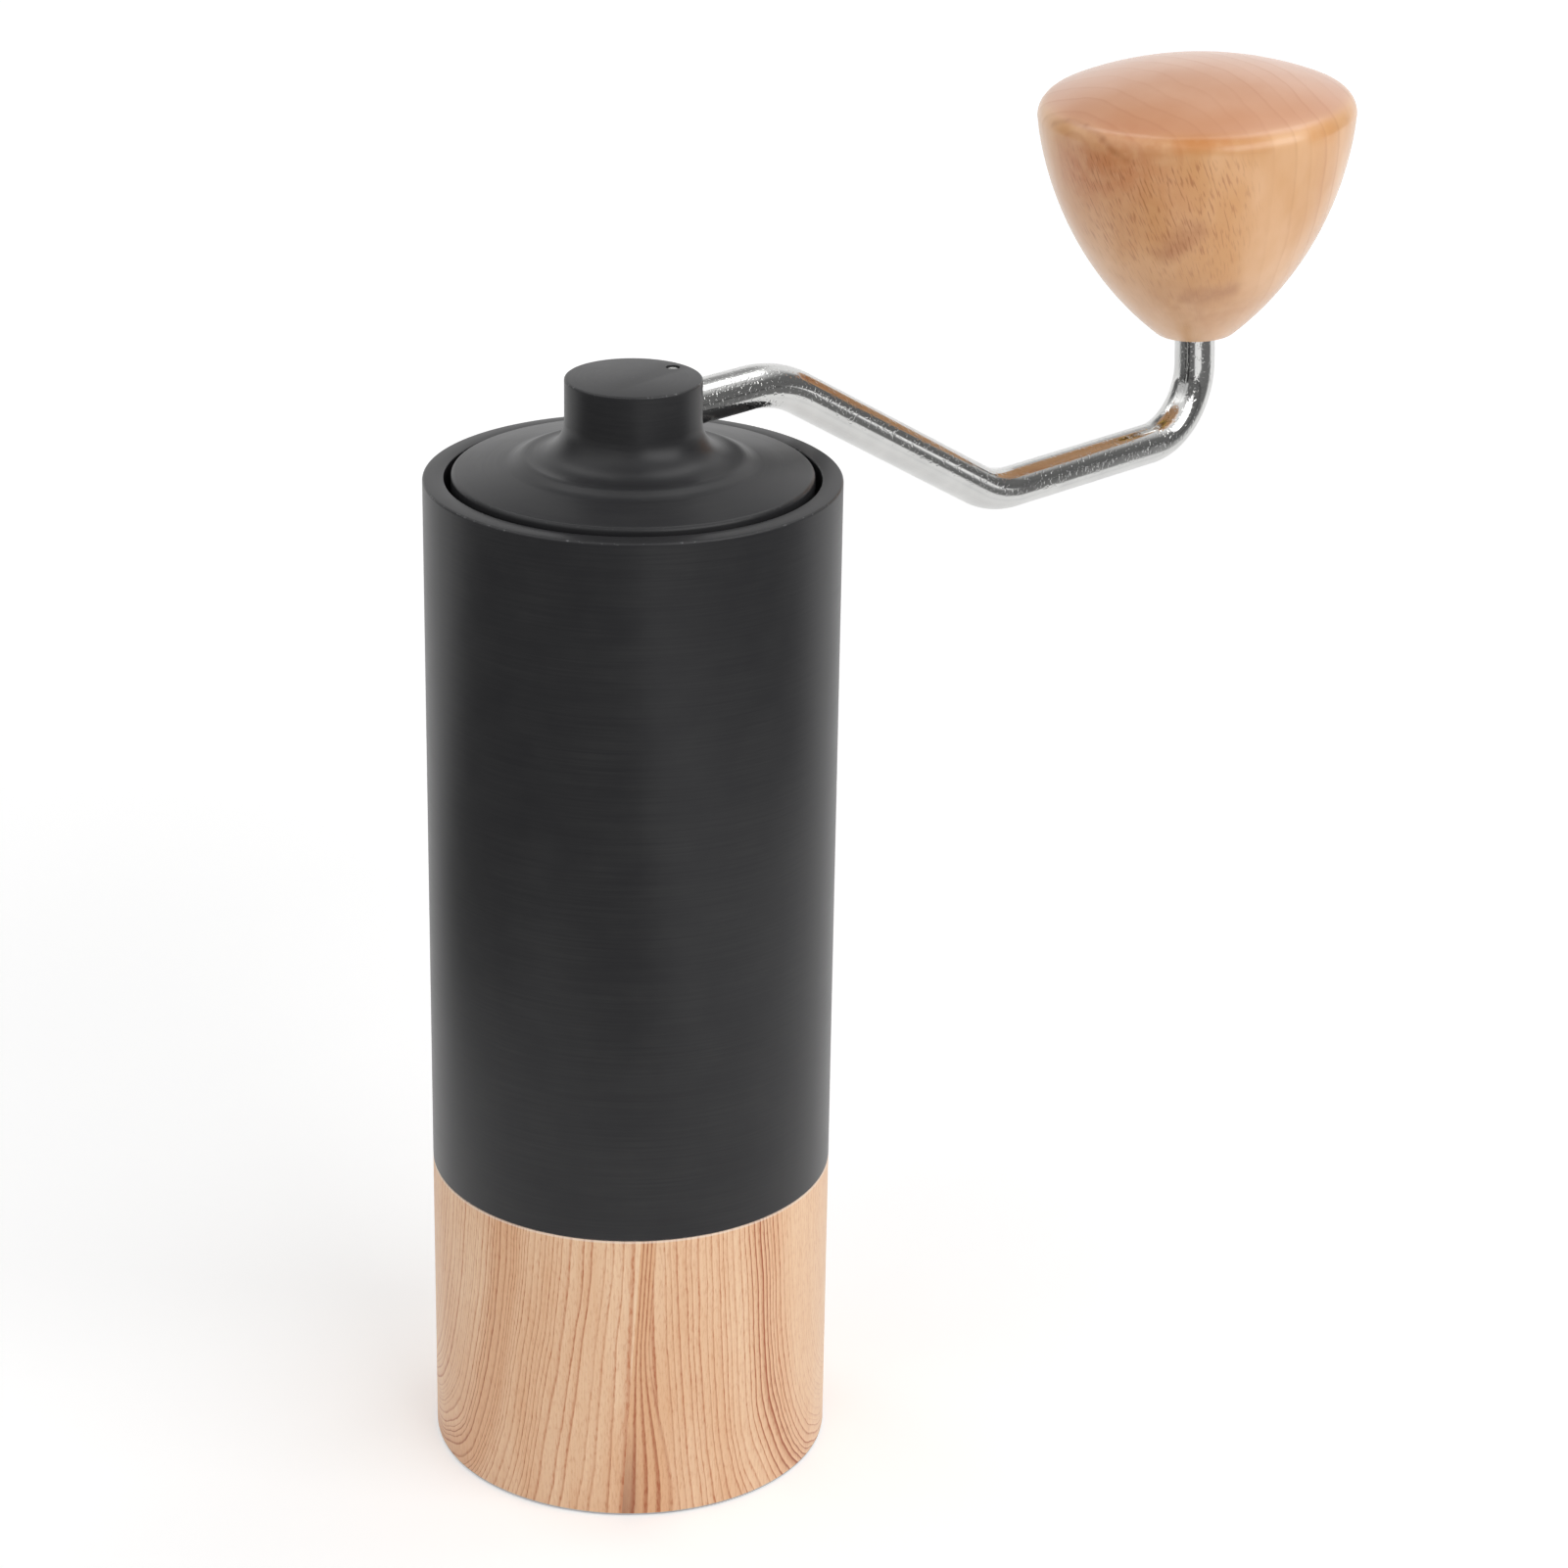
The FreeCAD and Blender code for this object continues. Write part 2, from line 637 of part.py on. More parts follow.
def adjust_dial():
    """The scalloped nut with one dimple for each click."""
    dial = turned([
        (STUD_R + RUN_GAP, DIAL_BOTTOM_Z),
        (DIAL_R - DIAL_BREAK, DIAL_BOTTOM_Z),
        (DIAL_R, DIAL_BOTTOM_Z + DIAL_BREAK),
        (DIAL_R, DIAL_GRIP_TOP_Z),
        (DIAL_CROWN_R, DIAL_TOP_Z),
        (STUD_R + RUN_GAP, DIAL_TOP_Z),
    ])
    scallop_x = DIAL_R + SCALLOP_R - SCALLOP_DEPTH
    scallop = rod(SCALLOP_R, DIAL_BOTTOM_Z, DIAL_TOP_Z, scallop_x)
    dimple = Part.makeSphere(DETENT_BALL_R, at(DETENT_CIRCLE_R, DIAL_TOP_Z + DETENT_BALL_R / 2))
    half_click = 180.0 / CLICKS_PER_TURN
    cutters = round_the_axis(scallop, CLICKS_PER_TURN, half_click)
    cutters.extend(round_the_axis(dimple, CLICKS_PER_TURN))
    return dial.cut(Part.makeCompound(cutters))


# Crank, lid and knob


def crank_lid():
    """The turned hub and cover, drilled for the rod, the pin and the socket."""
    outline = [
        at(0, HUB_TOP_Z),
        at(HUB_R, HUB_TOP_Z),
        at(HUB_R, HUB_FOOT_Z),
        at(SHOULDER_R, SHOULDER_Z),
        at(VALLEY_R, VALLEY_Z),
        at(LIP_R, LIP_Z),
        at(LIP_R, LID_BOTTOM_Z),
        at(0, LID_BOTTOM_Z),
        at(0, HUB_TOP_Z),
    ]
    rounds = [HUB_BREAK, HUB_FOOT_ROUND, SHOULDER_ROUND, VALLEY_ROUND, LIP_ROUND, 0, 0]
    lid = turned_edges(rounded_path(outline, rounds))
    drilled_length = SHOULDER_R + SHOULDER_ROUND - ROD_START_X
    drill = Part.makeCylinder(ROD_R + SEAT_GAP, drilled_length, at(ROD_START_X, ROD_Z), OUT)
    lid = lid.cut(drill)
    lid = lid.cut(rod(PIN_R + SEAT_GAP, PIN_BOTTOM_Z, HUB_TOP_Z, PIN_X))
    return lid.cut(rod(SOCKET_R + SEAT_GAP, LID_BOTTOM_Z, SOCKET_TOP_Z))


def drive_socket():
    """The steel insert with a blind hexagon that sits on the shaft."""
    socket = turned([
        (0, SOCKET_BOTTOM_Z),
        (SOCKET_COLLAR_R, SOCKET_BOTTOM_Z),
        (SOCKET_COLLAR_R, LID_BOTTOM_Z),
        (SOCKET_R, LID_BOTTOM_Z),
        (SOCKET_R, SOCKET_TOP_Z),
        (0, SOCKET_TOP_Z),
    ])
    return socket.cut(hexagon(HEX_ACROSS + 2 * RUN_GAP, SOCKET_BOTTOM_Z, SHAFT_TOP_Z + RUN_GAP))


def on_knob_axis(distance):
    """A point on the knob's leaning axis, measured up from its flat underside."""
    lean = math.radians(KNOB_LEAN_DEG)
    return at(CRANK_REACH - distance * math.sin(lean), KNOB_BOTTOM_Z + distance * math.cos(lean))


def leaned(shape):
    """Set a shape that was made about the Z axis on the knob's leaning axis."""
    shape.rotate(ORIGIN, FreeCAD.Vector(0, 1, 0), -KNOB_LEAN_DEG)
    shape.translate(at(CRANK_REACH, KNOB_BOTTOM_Z))
    return shape


def crank_rod():
    """The bent rod, with the pin's hole and the groove of the knob's ring."""
    below = (KNOB_BOTTOM_Z - LOW_RUN_Z) / math.cos(math.radians(KNOB_LEAN_DEG))
    path = [
        at(ROD_START_X, ROD_Z),
        at(FIRST_BEND_X, ROD_Z),
        at(SECOND_BEND_X, LOW_RUN_Z),
        on_knob_axis(-below),
        on_knob_axis(ROD_TIP),
    ]
    wire = Part.Wire(rounded_path(path, [FIRST_BEND_R, SECOND_BEND_R, KNOB_BEND_R]))
    circle = Part.makeCircle(ROD_R, path[0], OUT)
    bar = wire.makePipeShell([Part.Wire([circle])], True, False)
    bar = bar.cut(rod(PIN_R + SEAT_GAP, ROD_Z - 2 * ROD_R, ROD_Z + 2 * ROD_R, PIN_X))
    clip_end = KNOB_CLIP_START + KNOB_CLIP_THICKNESS
    return bar.cut(leaned(ring(KNOB_GROOVE_R, ROD_R + OVERRUN, KNOB_CLIP_START, clip_end)))


def lock_pin():
    """The pin through the hub and the rod."""
    return rod(PIN_R, PIN_BOTTOM_Z, PIN_TOP_Z, PIN_X)


def bulged(start, end, bulge):
    """An arc from start to end that stands out by the bulge on the far side of the axis."""
    chord = end.sub(start)
    outward = unit(FreeCAD.Vector(chord.z, 0, -chord.x))
    middle = start.add(end) * 0.5
    return Part.Arc(start, middle.add(outward * bulge), end).toShape()


def dome(edge, apex):
    """An arc from the edge up to the apex, part of a ball centred on the axis."""
    rise = apex.z - edge.z
    ball_r = (edge.x ** 2 + rise ** 2) / (2 * rise)
    half_angle = math.asin(edge.x / ball_r) / 2
    drop = ball_r * (1 - math.cos(half_angle))
    middle = at(ball_r * math.sin(half_angle), apex.z - drop)
    return Part.Arc(edge, middle, apex).toShape()


def knob():
    """The wooden knob: convex flanks, a soft edge and a shallow dome, bored from below."""
    foot_inner = at(KNOB_FOOT_R - KNOB_FOOT_BREAK, 0)
    foot_outer = at(KNOB_FOOT_R, KNOB_FOOT_BREAK)
    widest = at(KNOB_R, KNOB_WIDEST)
    edge = at(KNOB_EDGE_R, KNOB_EDGE_HEIGHT)
    apex = at(0, KNOB_HEIGHT)
    edges = [
        Part.makeLine(at(0, 0), foot_inner),
        Part.makeLine(foot_inner, foot_outer),
        bulged(foot_outer, widest, KNOB_FLANK_BULGE),
        bulged(widest, edge, KNOB_EDGE_BULGE),
        dome(edge, apex),
        Part.makeLine(apex, at(0, 0)),
    ]
    body = turned_edges(edges)
    body = body.cut(rod(BUSH_R, 0, KNOB_STEP))
    body = body.cut(rod(ROD_R + FACE_GAP, KNOB_STEP, KNOB_BORE_END))
    return leaned(body)


def knob_bush():
    """The sleeve in the knob that turns on the rod."""
    return leaned(ring(ROD_R + RUN_GAP, BUSH_R - SEAT_GAP, BUSH_START, BUSH_END))


def knob_clip():
    """The snap ring on the rod, between the bush and the step of the knob's bore."""
    inner_r = KNOB_GROOVE_R + SEAT_GAP
    clip = open_ring(inner_r, KNOB_CLIP_R, KNOB_CLIP_START, KNOB_CLIP_THICKNESS, KNOB_CLIP_OPENING)
    return leaned(clip)


# All pieces, by node


def pieces():
    """Every piece of the grinder under its name."""
    made = {
        "catch_cup": catch_cup(),
        "cup_seal": cup_seal(),
        "body_tube": body_tube(),
        "upper_bridge": upper_bridge(),
        "bridge_clip": bore_clip(BRIDGE_TOP_Z, MOUTH_R),
        "burr_carrier": burr_carrier(),
        "carrier_clip": bore_clip(CARRIER_BOTTOM_Z - CLIP_THICKNESS, LOWER_R),
        "burr_screws": burr_screws(),
        "outer_burr": outer_burr(),
        "drive_shaft": drive_shaft(),
        "shaft_clip": shaft_clip(),
        "spring_washer": spring_washer(),
        "burr_spring": burr_spring(),
        "inner_burr": inner_burr(),
        "detent_balls": detent_balls(),
        "detent_springs": detent_springs(),
        "adjust_dial": adjust_dial(),
        "crank_lid": crank_lid(),
        "drive_socket": drive_socket(),
        "crank_rod": crank_rod(),
        "lock_pin": lock_pin(),
        "knob": knob(),
        "knob_bush": knob_bush(),
        "knob_clip": knob_clip(),
    }
    for name, bottom_z in (("upper_bearing", UPPER_BEARING_Z), ("lower_bearing", LOWER_BEARING_Z)):
        for kind, shape in bearing(bottom_z).items():
            made[name + "_" + kind] = shape
    return made


def main():
    """Write one file for each piece."""
    os.makedirs(PART_DIR, exist_ok=True)
    for name, shape in pieces().items():
        shape.exportStep(PART_DIR + "/" + name + ".step")
        state = "valid" if shape.isValid() else "not valid"
        print(name, state, "solids", len(shape.Solids), "volume", round(shape.Volume, 1))


main()
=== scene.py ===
"""The looks of a hand crank coffee grinder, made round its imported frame.

A straight black tube stands on a catch cup with a printed pine finish. A turned black lid
carries a bent steel crank with a lacquered beech knob. Sizes in the classes are millimetres
in the part's own frame: +Z up the tube's axis, +X towards the knob.
"""

import json
import logging
import math
from dataclasses import dataclass
from enum import Enum
from functools import cache
from typing import Callable, Optional, Sequence, Union

import bmesh
import bpy
from mathutils import Matrix, Vector


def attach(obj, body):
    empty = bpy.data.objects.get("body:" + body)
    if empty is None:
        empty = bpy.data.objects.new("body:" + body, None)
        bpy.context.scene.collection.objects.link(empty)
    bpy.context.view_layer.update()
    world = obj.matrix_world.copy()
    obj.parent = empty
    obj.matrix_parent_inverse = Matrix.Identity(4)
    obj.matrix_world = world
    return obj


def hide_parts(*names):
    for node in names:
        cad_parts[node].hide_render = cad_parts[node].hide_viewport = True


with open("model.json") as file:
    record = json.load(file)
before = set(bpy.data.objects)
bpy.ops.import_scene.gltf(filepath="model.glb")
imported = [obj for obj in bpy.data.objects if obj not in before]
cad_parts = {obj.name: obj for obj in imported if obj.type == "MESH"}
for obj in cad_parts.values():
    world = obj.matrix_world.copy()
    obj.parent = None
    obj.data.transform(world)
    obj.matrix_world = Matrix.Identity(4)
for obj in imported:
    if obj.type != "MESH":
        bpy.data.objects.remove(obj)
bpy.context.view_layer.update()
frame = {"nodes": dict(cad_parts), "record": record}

MM = 0.001
LOG = logging.getLogger("grinder")

# The crank's turn away from the picture plane: the viewer stands at minus 90 minus this.
CRANK_TURN = math.radians(43.0)

# Sides of the large turned pieces and of a drilled hole, and the angle that keeps an edge crisp.
SIDES = 160
BORE_SIDES = 64
CRISP = math.radians(32.0)
MERGE = 0.002 * MM

# Points this near to a ring or a plane, in millimetres, are on it.
NEAR = 0.01

# Measures that two pieces share.
TUBE_R = 27.5
SEAM_Z = 42.5
SEAM_ROUND = 0.2
ROD_START_X = -5.5
ROD_Z = 148.5
PIN_X = 7.0
PIN_BOTTOM_Z = 144.6
KNOB_X = 113.9
KNOB_Z = 138.8
KNOB_LEAN = math.radians(4.0)

Socket = bpy.types.NodeSocket
Tree = bpy.types.NodeTree
Piece = bpy.types.Object


class Body(Enum):
    """The moving bodies of the frame that new pieces ride on."""

    CUP = "cup"
    TUBE = "tube"
    CRANK = "crank"
    KNOB = "knob"


class Slot(Enum):
    """The record's material slots."""

    BLACK = "black_anodised"
    PRINT = "wood_print"
    BEECH = "lacquered_beech"
    ROD = "polished_steel"
    STEEL = "bright_steel"
    BURR = "burr_steel"
    SPRING = "spring_steel"
    NYLON = "dark_nylon"
    DIAL = "dial_aluminium"
    BRASS = "bush_brass"
    RUBBER = "black_rubber"


class Node(Enum):
    """The kinds of shader node that the finishes are made of.

    Each has Blender's name, the choice that is made in its settings, and the output that is used.
    """

    PLACE = "TexCoord"
    MAPPING = "Mapping", "TEXTURE"
    SPLIT = "SeparateXYZ"
    JOIN = "CombineXYZ"
    TIMES = "Math", "MULTIPLY"
    OVER = "Math", "DIVIDE"
    PLUS = "Math", "ADD"
    MINUS = "Math", "SUBTRACT"
    TIMES_PLUS = "Math", "MULTIPLY_ADD"
    POWER = "Math", "POWER"
    EXPONENT = "Math", "EXPONENT"
    ABSOLUTE = "Math", "ABSOLUTE"
    FLOOR = "Math", "FLOOR"
    FRACTION = "Math", "FRACT"
    LESS = "Math", "LESS_THAN"
    LARGER = "Math", "MAXIMUM"
    SMALLER = "Math", "MINIMUM"
    ANGLE = "Math", "ARCTAN2"
    STRETCH = "VectorMath", "MULTIPLY"
    SHRINK = "VectorMath", "DIVIDE"
    STRETCH_SHIFT = "VectorMath", "MULTIPLY_ADD"
    OFFSET = "VectorMath", "SUBTRACT"
    SCALED = "VectorMath", "SCALE"
    UNIT = "VectorMath", "NORMALIZE"
    LENGTH = "VectorMath", "LENGTH", "Value"
    DISTANCE = "VectorMath", "DISTANCE", "Value"
    DOT = "VectorMath", "DOT_PRODUCT", "Value"
    NOISE = "TexNoise", "3D"
    NOISE_1D = "TexNoise", "1D"
    CHANCE = "TexWhiteNoise", "1D"
    RANGE = "MapRange", "LINEAR"
    SMOOTH = "MapRange", "SMOOTHSTEP"
    BLEND = "Mix", "FLOAT"
    TINT = "Mix", "RGBA", 2
    BUMP = "Bump", False
    DENT = "Bump", True
    SKIN = "BsdfPrincipled"
    DIFFUSE = "BsdfDiffuse"
    GLOW = "Emission"
    SUM = "AddShader"
    PATH = "LightPath"
    SKY = "Background"
    OUTPUT = "OutputMaterial"
    WORLD = "OutputWorld"

    def __init__(self, label: str, choice: Union[bool, str, None] = None,
                 out: Union[int, str] = 0) -> None:
        """Keep Blender's name of the node, its choice and its output."""
        self.label = label
        self.choice = choice
        self.out = out


# The setting of each kind of node that a choice is made for.
CHOICES = {"Mapping": "vector_type", "Math": "operation", "VectorMath": "operation",
           "TexNoise": "noise_dimensions", "TexWhiteNoise": "noise_dimensions",
           "MapRange": "interpolation_type", "Mix": "data_type", "Bump": "invert"}


def linear(colour: str) -> tuple:
    """Turn an sRGB colour into linear light.

    Args:
        colour: The colour as a hex value such as "#DDA873".

    Returns:
        Red, green, blue and an alpha of one.
    """
    parts = [int(colour[start:start + 2], 16) / 255 for start in (1, 3, 5)]
    light = [part / 12.92 if part <= 0.04045 else ((part + 0.055) / 1.055) ** 2.4 for part in parts]
    return (*light, 1.0)


def add(kind: Node, *inputs: Union[Socket, float, Sequence[float], dict],
        out: Union[int, str, None] = None, tree: Optional[Tree] = None) -> Optional[Socket]:
    """Add a node and feed it.

    Args:
        kind: The kind of node.
        inputs: Values, or the sockets that give them, in the order of the node's inputs. A dict
            holds them by the input's name or number instead.
        out: The output socket that is wanted, if not the usual one of the kind.
        tree: The node tree it goes in, if no socket feeds it.

    Returns:
        That output socket, or None for a node that has none.
    """
    given = {}
    for index, part in enumerate(inputs):
        given.update(part if isinstance(part, dict) else {index: part})
    if tree is None:
        tree = next(value.id_data for value in given.values() if isinstance(value, Socket))
    node = tree.nodes.new("ShaderNode" + kind.label)
    if kind.label in CHOICES:
        setattr(node, CHOICES[kind.label], kind.choice)
    for key, value in given.items():
        if isinstance(value, Socket):
            tree.links.new(value, node.inputs[key])
        else:
            node.inputs[key].default_value = value
    return node.outputs[kind.out if out is None else out] if len(node.outputs) else None


@dataclass(frozen=True)
class Finish:
    """A finish: its name, its slot in the record, and where its pattern is centred and turned."""

    name: str
    slot: Slot
    centre: tuple = (0.0, 0.0, 0.0)
    turn: tuple = (0.0, 0.0, 0.0)

    @cache
    def material(self) -> bpy.types.Material:
        """Make the finish once, with its pattern in millimetres about its centre.

        Returns:
            The material, the same one at every call.
        """
        made = bpy.data.materials.new(self.name)
        made.use_nodes = True
        tree = made.node_tree
        tree.nodes.clear()
        place = add(Node.PLACE, out="Object", tree=tree)
        centre = tuple(part * MM for part in self.centre)
        spot = add(Node.MAPPING, {"Vector": place, "Location": centre, "Rotation": self.turn,
                                  "Scale": (MM, MM, MM)})
        add(Node.OUTPUT, {"Surface": self.surface(spot)})
        return made

    def surface(self, spot: Socket) -> Socket:
        """The shader of the finish, from the place in millimetres."""
        raise NotImplementedError


def lay_tints(colour: Union[Socket, tuple], layers: Sequence[tuple]) -> Socket:
    """Lay tints over a colour, one after the other.

    Args:
        colour: The ground, as a socket or in linear light.
        layers: For each tint, where it lies, how much it covers there, and its hex value.

    Returns:
        The colour with its tints.
    """
    for amount, share, tint in layers:
        cover = add(Node.TIMES, amount, share)
        colour = add(Node.TINT, {0: cover, 6: colour, 7: linear(tint)})
    return colour


def late_wood(phase: Socket, rise: tuple, end: float) -> Socket:
    """The dark part of a growth ring, which comes in slowly, then fast, and ends sharply.

    Args:
        phase: The place within the ring, from zero to one.
        rise: Where the fast part starts and where it is done.
        end: Where the dark starts to end.

    Returns:
        How dark the ring is there.
    """
    soft = add(Node.RANGE, phase, 0.1, 0.8, 0.0, 0.3)
    fast = add(Node.SMOOTH, phase, *rise, 0.0, 0.7)
    dark = add(Node.PLUS, soft, fast)
    fall = add(Node.SMOOTH, phase, 1.0, end)
    return add(Node.TIMES, dark, fall)


def turned_lines(spot: Socket, line_mm: float, breaks: float) -> tuple:
    """Lines that a lathe tool leaves round the Z axis, on walls as well as on end faces.

    Args:
        spot: The place, in millimetres.
        line_mm: The size of a line.
        breaks: How often a line fades out on its way round.

    Returns:
        The sockets of the lines, of the distance from the axis and of the height.
    """
    flat = add(Node.STRETCH, spot, (1.0, 1.0, 0.0))
    distance = add(Node.LENGTH, flat)
    height = add(Node.SPLIT, spot, out="Z")
    along = add(Node.PLUS, distance, height)
    along = add(Node.TIMES, along, 1 / line_mm)
    rise = add(Node.JOIN, {2: along})
    way = add(Node.UNIT, flat)
    place = add(Node.STRETCH_SHIFT, way, (breaks, breaks, 0.0), rise)
    lines = add(Node.NOISE, place, {"Scale": 1.0, "Detail": 2.0})
    return lines, distance, height


@dataclass(frozen=True)
class BlackAnodised(Finish):
    """Turned aluminium, fine blasted and anodised black.

    The dyed oxide is a near black with a soft even sheen, faint lines round the axis where the
    tool went, and small pale chips along the edges where the dye has rubbed off.
    """

    dye: str = "#28282A"
    pale_dye: str = "#303031"
    rubbed: str = "#9A9A9C"
    line_mm: float = 0.3
    line_breaks: float = 2.0
    cloud_mm: float = 7.0
    speck_mm: float = 0.6
    edges: tuple = ()
    edge_mm: float = 0.3
    rough: tuple = (0.31, 0.35)
    ior: float = 1.32

    def surface(self, spot: Socket) -> Socket:
        """Dye with turned lines, clouds in its sheen and chipped edges."""
        # The tool's real feed, near 0.1 mm, is too fine to show, so the lines are drawn coarser.
        lines, distance, height = turned_lines(spot, self.line_mm, self.line_breaks)
        cloud = add(Node.NOISE, spot, {"Scale": 1 / self.cloud_mm, "Detail": 3.0})
        speck = add(Node.NOISE, spot, {"Scale": 1 / self.speck_mm, "Detail": 1.0})
        grain = add(Node.TIMES, lines, cloud)
        tint = add(Node.RANGE, grain, 0.1, 0.45)
        layers = [(tint, 1.0, self.pale_dye), *self.wear(distance, height, speck)]
        colour = lay_tints(linear(self.dye), layers)
        rough = add(Node.RANGE, grain, 0.1, 0.45, *self.rough)
        bump = add(Node.BUMP, {"Height": lines, "Strength": 0.2, "Distance": 0.002 * MM})
        bump = add(Node.BUMP, {"Height": speck, "Strength": 0.3, "Distance": 0.005 * MM,
                               "Normal": bump})
        return add(Node.SKIN, {"Base Color": colour, "Roughness": rough, "IOR": self.ior,
                               "Normal": bump})

    def wear(self, distance: Socket, height: Socket, speck: Socket) -> list:
        """The paler worn colour along the edges.

        Args:
            distance: The distance from the axis.
            height: The height.
            speck: Fine noise that breaks the wear up.

        Returns:
            For each edge, where its wear lies, how much it covers, and its tint.
        """
        chips = add(Node.RANGE, speck, 0.6, 0.78, 0.08)
        layers = []
        for radius, level in self.edges:
            across = add(Node.MINUS, distance, radius)
            upward = add(Node.MINUS, height, level)
            gap = add(Node.LENGTH, add(Node.JOIN, across, upward))
            near = add(Node.SMOOTH, gap, self.edge_mm, 0.0, 0.0, 0.85)
            layers.append((add(Node.TIMES, near, chips), 1.0, self.rubbed))
        return layers


@dataclass(frozen=True)
class PinePrint(Finish):
    """Aluminium with a heat-transferred print of pine, under a satin clear coat.

    Thin growth lines stand close together at the sides, open out towards the front and swing
    outwards near the foot. The two ends of the film meet at the front, in a dark heart. Along the
    seam with the tube, a thin pale line is painted on the top edge as its highlight.
    """

    pale: str = "#F9D5B0"
    warm: str = "#E2A979"
    line: str = "#C06C3A"
    dark: str = "#A04E24"
    maroon: str = "#8A5340"
    # The colour of the painted highlight along the top edge, at the seam with the tube.
    film: str = "#FDF2E8"
    wall_r: float = TUBE_R
    top_mm: float = SEAM_Z
    seam_slant: float = 2.5
    lean: float = 0.1
    flare_height: float = 38.0
    flare_mm: float = 70.0
    flare_reach: float = 38.0
    lines_per_mm: float = 2.4
    opening_out: float = 0.01025
    right_side: float = 1.25
    close_lines: tuple = (62.0, 77.0, 12.0)
    uneven_mm: float = 2.6
    knot_mm: float = 68.3
    right_knot: float = 0.5
    heart_mm: tuple = (2.2, 7.2)
    heart_lines: float = 4.0
    fibre_mm: tuple = (0.2, 0.2, 5.0)
    fleck_mm: tuple = (0.24, 0.24, 1.1)

    def growth(self, spot: Socket) -> tuple:
        """Measure how deep in the log a place on the wall is.

        Args:
            spot: The place, with +X towards the back.

        Returns:
            The sockets of the depth, of the distance to the seam at the front, of the distance
            below the top, and of the side, which is one on the right and zero on the left.
        """
        parts = add(Node.SPLIT, spot).node.outputs
        slant = -self.seam_slant / (self.wall_r * self.top_mm)
        slant = add(Node.TIMES, parts["Z"], slant)
        across = add(Node.TIMES_PLUS, slant, parts["X"], parts["Y"])
        angle = add(Node.ANGLE, across, parts["X"])
        side = add(Node.LESS, across, 0.0)
        turn = add(Node.ABSOLUTE, angle)
        depth = add(Node.TIMES, turn, self.wall_r)
        seam = add(Node.MINUS, math.pi * self.wall_r, depth)
        below = add(Node.MINUS, self.top_mm, parts["Z"])
        reach = add(Node.OVER, depth, self.flare_reach)
        reach = add(Node.POWER, reach, 2.0)
        reach = add(Node.TIMES, reach, -1.0)
        reach = add(Node.EXPONENT, reach)
        low = add(Node.RANGE, parts["Z"], self.flare_height, 0.0)
        low = add(Node.POWER, low, 2.5)
        swing = add(Node.TIMES, low, reach)
        depth = add(Node.TIMES_PLUS, swing, self.flare_mm, depth)
        left = add(Node.RANGE, seam, 0.0, 40.0, -0.2, 1.62)
        right = add(Node.RANGE, seam, 0.0, 12.0, 1.13, 0.95)
        tilt = add(Node.BLEND, {0: side, 2: left, 3: right})
        tilt = add(Node.TIMES, tilt, self.lean)
        depth = add(Node.TIMES_PLUS, below, tilt, depth)
        stretched = add(Node.STRETCH, spot, (1.0, 1.0, 0.35))
        for size_mm, shift in ((15.0, 3.0), (4.0, 0.6), (1.1, 0.16)):
            wave = add(Node.NOISE, stretched, {"Scale": 1 / size_mm, "Detail": 1.0})
            wave = add(Node.MINUS, wave, 0.5)
            depth = add(Node.TIMES_PLUS, wave, shift, depth)
        return depth, seam, below, side

    def rings(self, depth: Socket, side: Socket) -> Socket:
        """Thin dark lines, one to a year, each of its own strength and distance.

        Args:
            depth: The depth in the log.
            side: One on the right and zero on the left.

        Returns:
            The strength of the line at a place.
        """
        seed = add(Node.TIMES_PLUS, side, 500.0, depth)
        uneven = add(Node.NOISE_1D, {"W": seed, "Scale": 1 / self.uneven_mm, "Detail": 0.0})
        depth = add(Node.TIMES_PLUS, uneven, self.uneven_mm / 2, depth)
        slope = add(Node.TIMES_PLUS, depth, -self.opening_out, self.lines_per_mm)
        count = add(Node.TIMES, depth, slope)
        closer = add(Node.RANGE, side, 0.0, 1.0, 1.0, self.right_side)
        count = add(Node.TIMES, count, closer)
        start, end, lines = self.close_lines
        extra = add(Node.RANGE, depth, start, end, 0.0, lines)
        extra = add(Node.BLEND, {0: side, 2: extra, 3: 0.0})
        count = add(Node.PLUS, count, extra)
        number = add(Node.FLOOR, count)
        phase = add(Node.FRACTION, count)
        mirrored = add(Node.MINUS, 1.0, phase)
        phase = add(Node.BLEND, {0: side, 2: phase, 3: mirrored})
        seed = add(Node.TIMES_PLUS, side, 50.0, number)
        chance = add(Node.CHANCE, {"W": seed})
        strength = add(Node.RANGE, chance, 0.0, 1.0, 0.4, 1.0)
        line = late_wood(phase, (0.66, 0.88), 0.9)
        return add(Node.TIMES, line, strength)

    def bands(self, spot: Socket, depth: Socket, side: Socket) -> tuple:
        """Broad darker bands along the grain.

        Args:
            spot: The place.
            depth: The depth in the log.
            side: One on the right and zero on the left.

        Returns:
            The sockets of soft clouds with a knot's shade on both sides, and of that shade alone.
        """
        along = add(Node.STRETCH, spot, (1.0, 1.0, 0.15))
        cloud = add(Node.NOISE, along, {"Scale": 1 / 6.0, "Detail": 2.0})
        band = add(Node.RANGE, cloud, 0.4, 0.72, 0.0, 0.8)
        off = add(Node.MINUS, depth, self.knot_mm)
        off = add(Node.ABSOLUTE, off)
        knot = add(Node.SMOOTH, off, 3.4, 1.2, 0.0, 0.9)
        share = add(Node.RANGE, side, 0.0, 1.0, 1.0, self.right_knot)
        shade = add(Node.TIMES, knot, share)
        return add(Node.LARGER, band, shade), knot

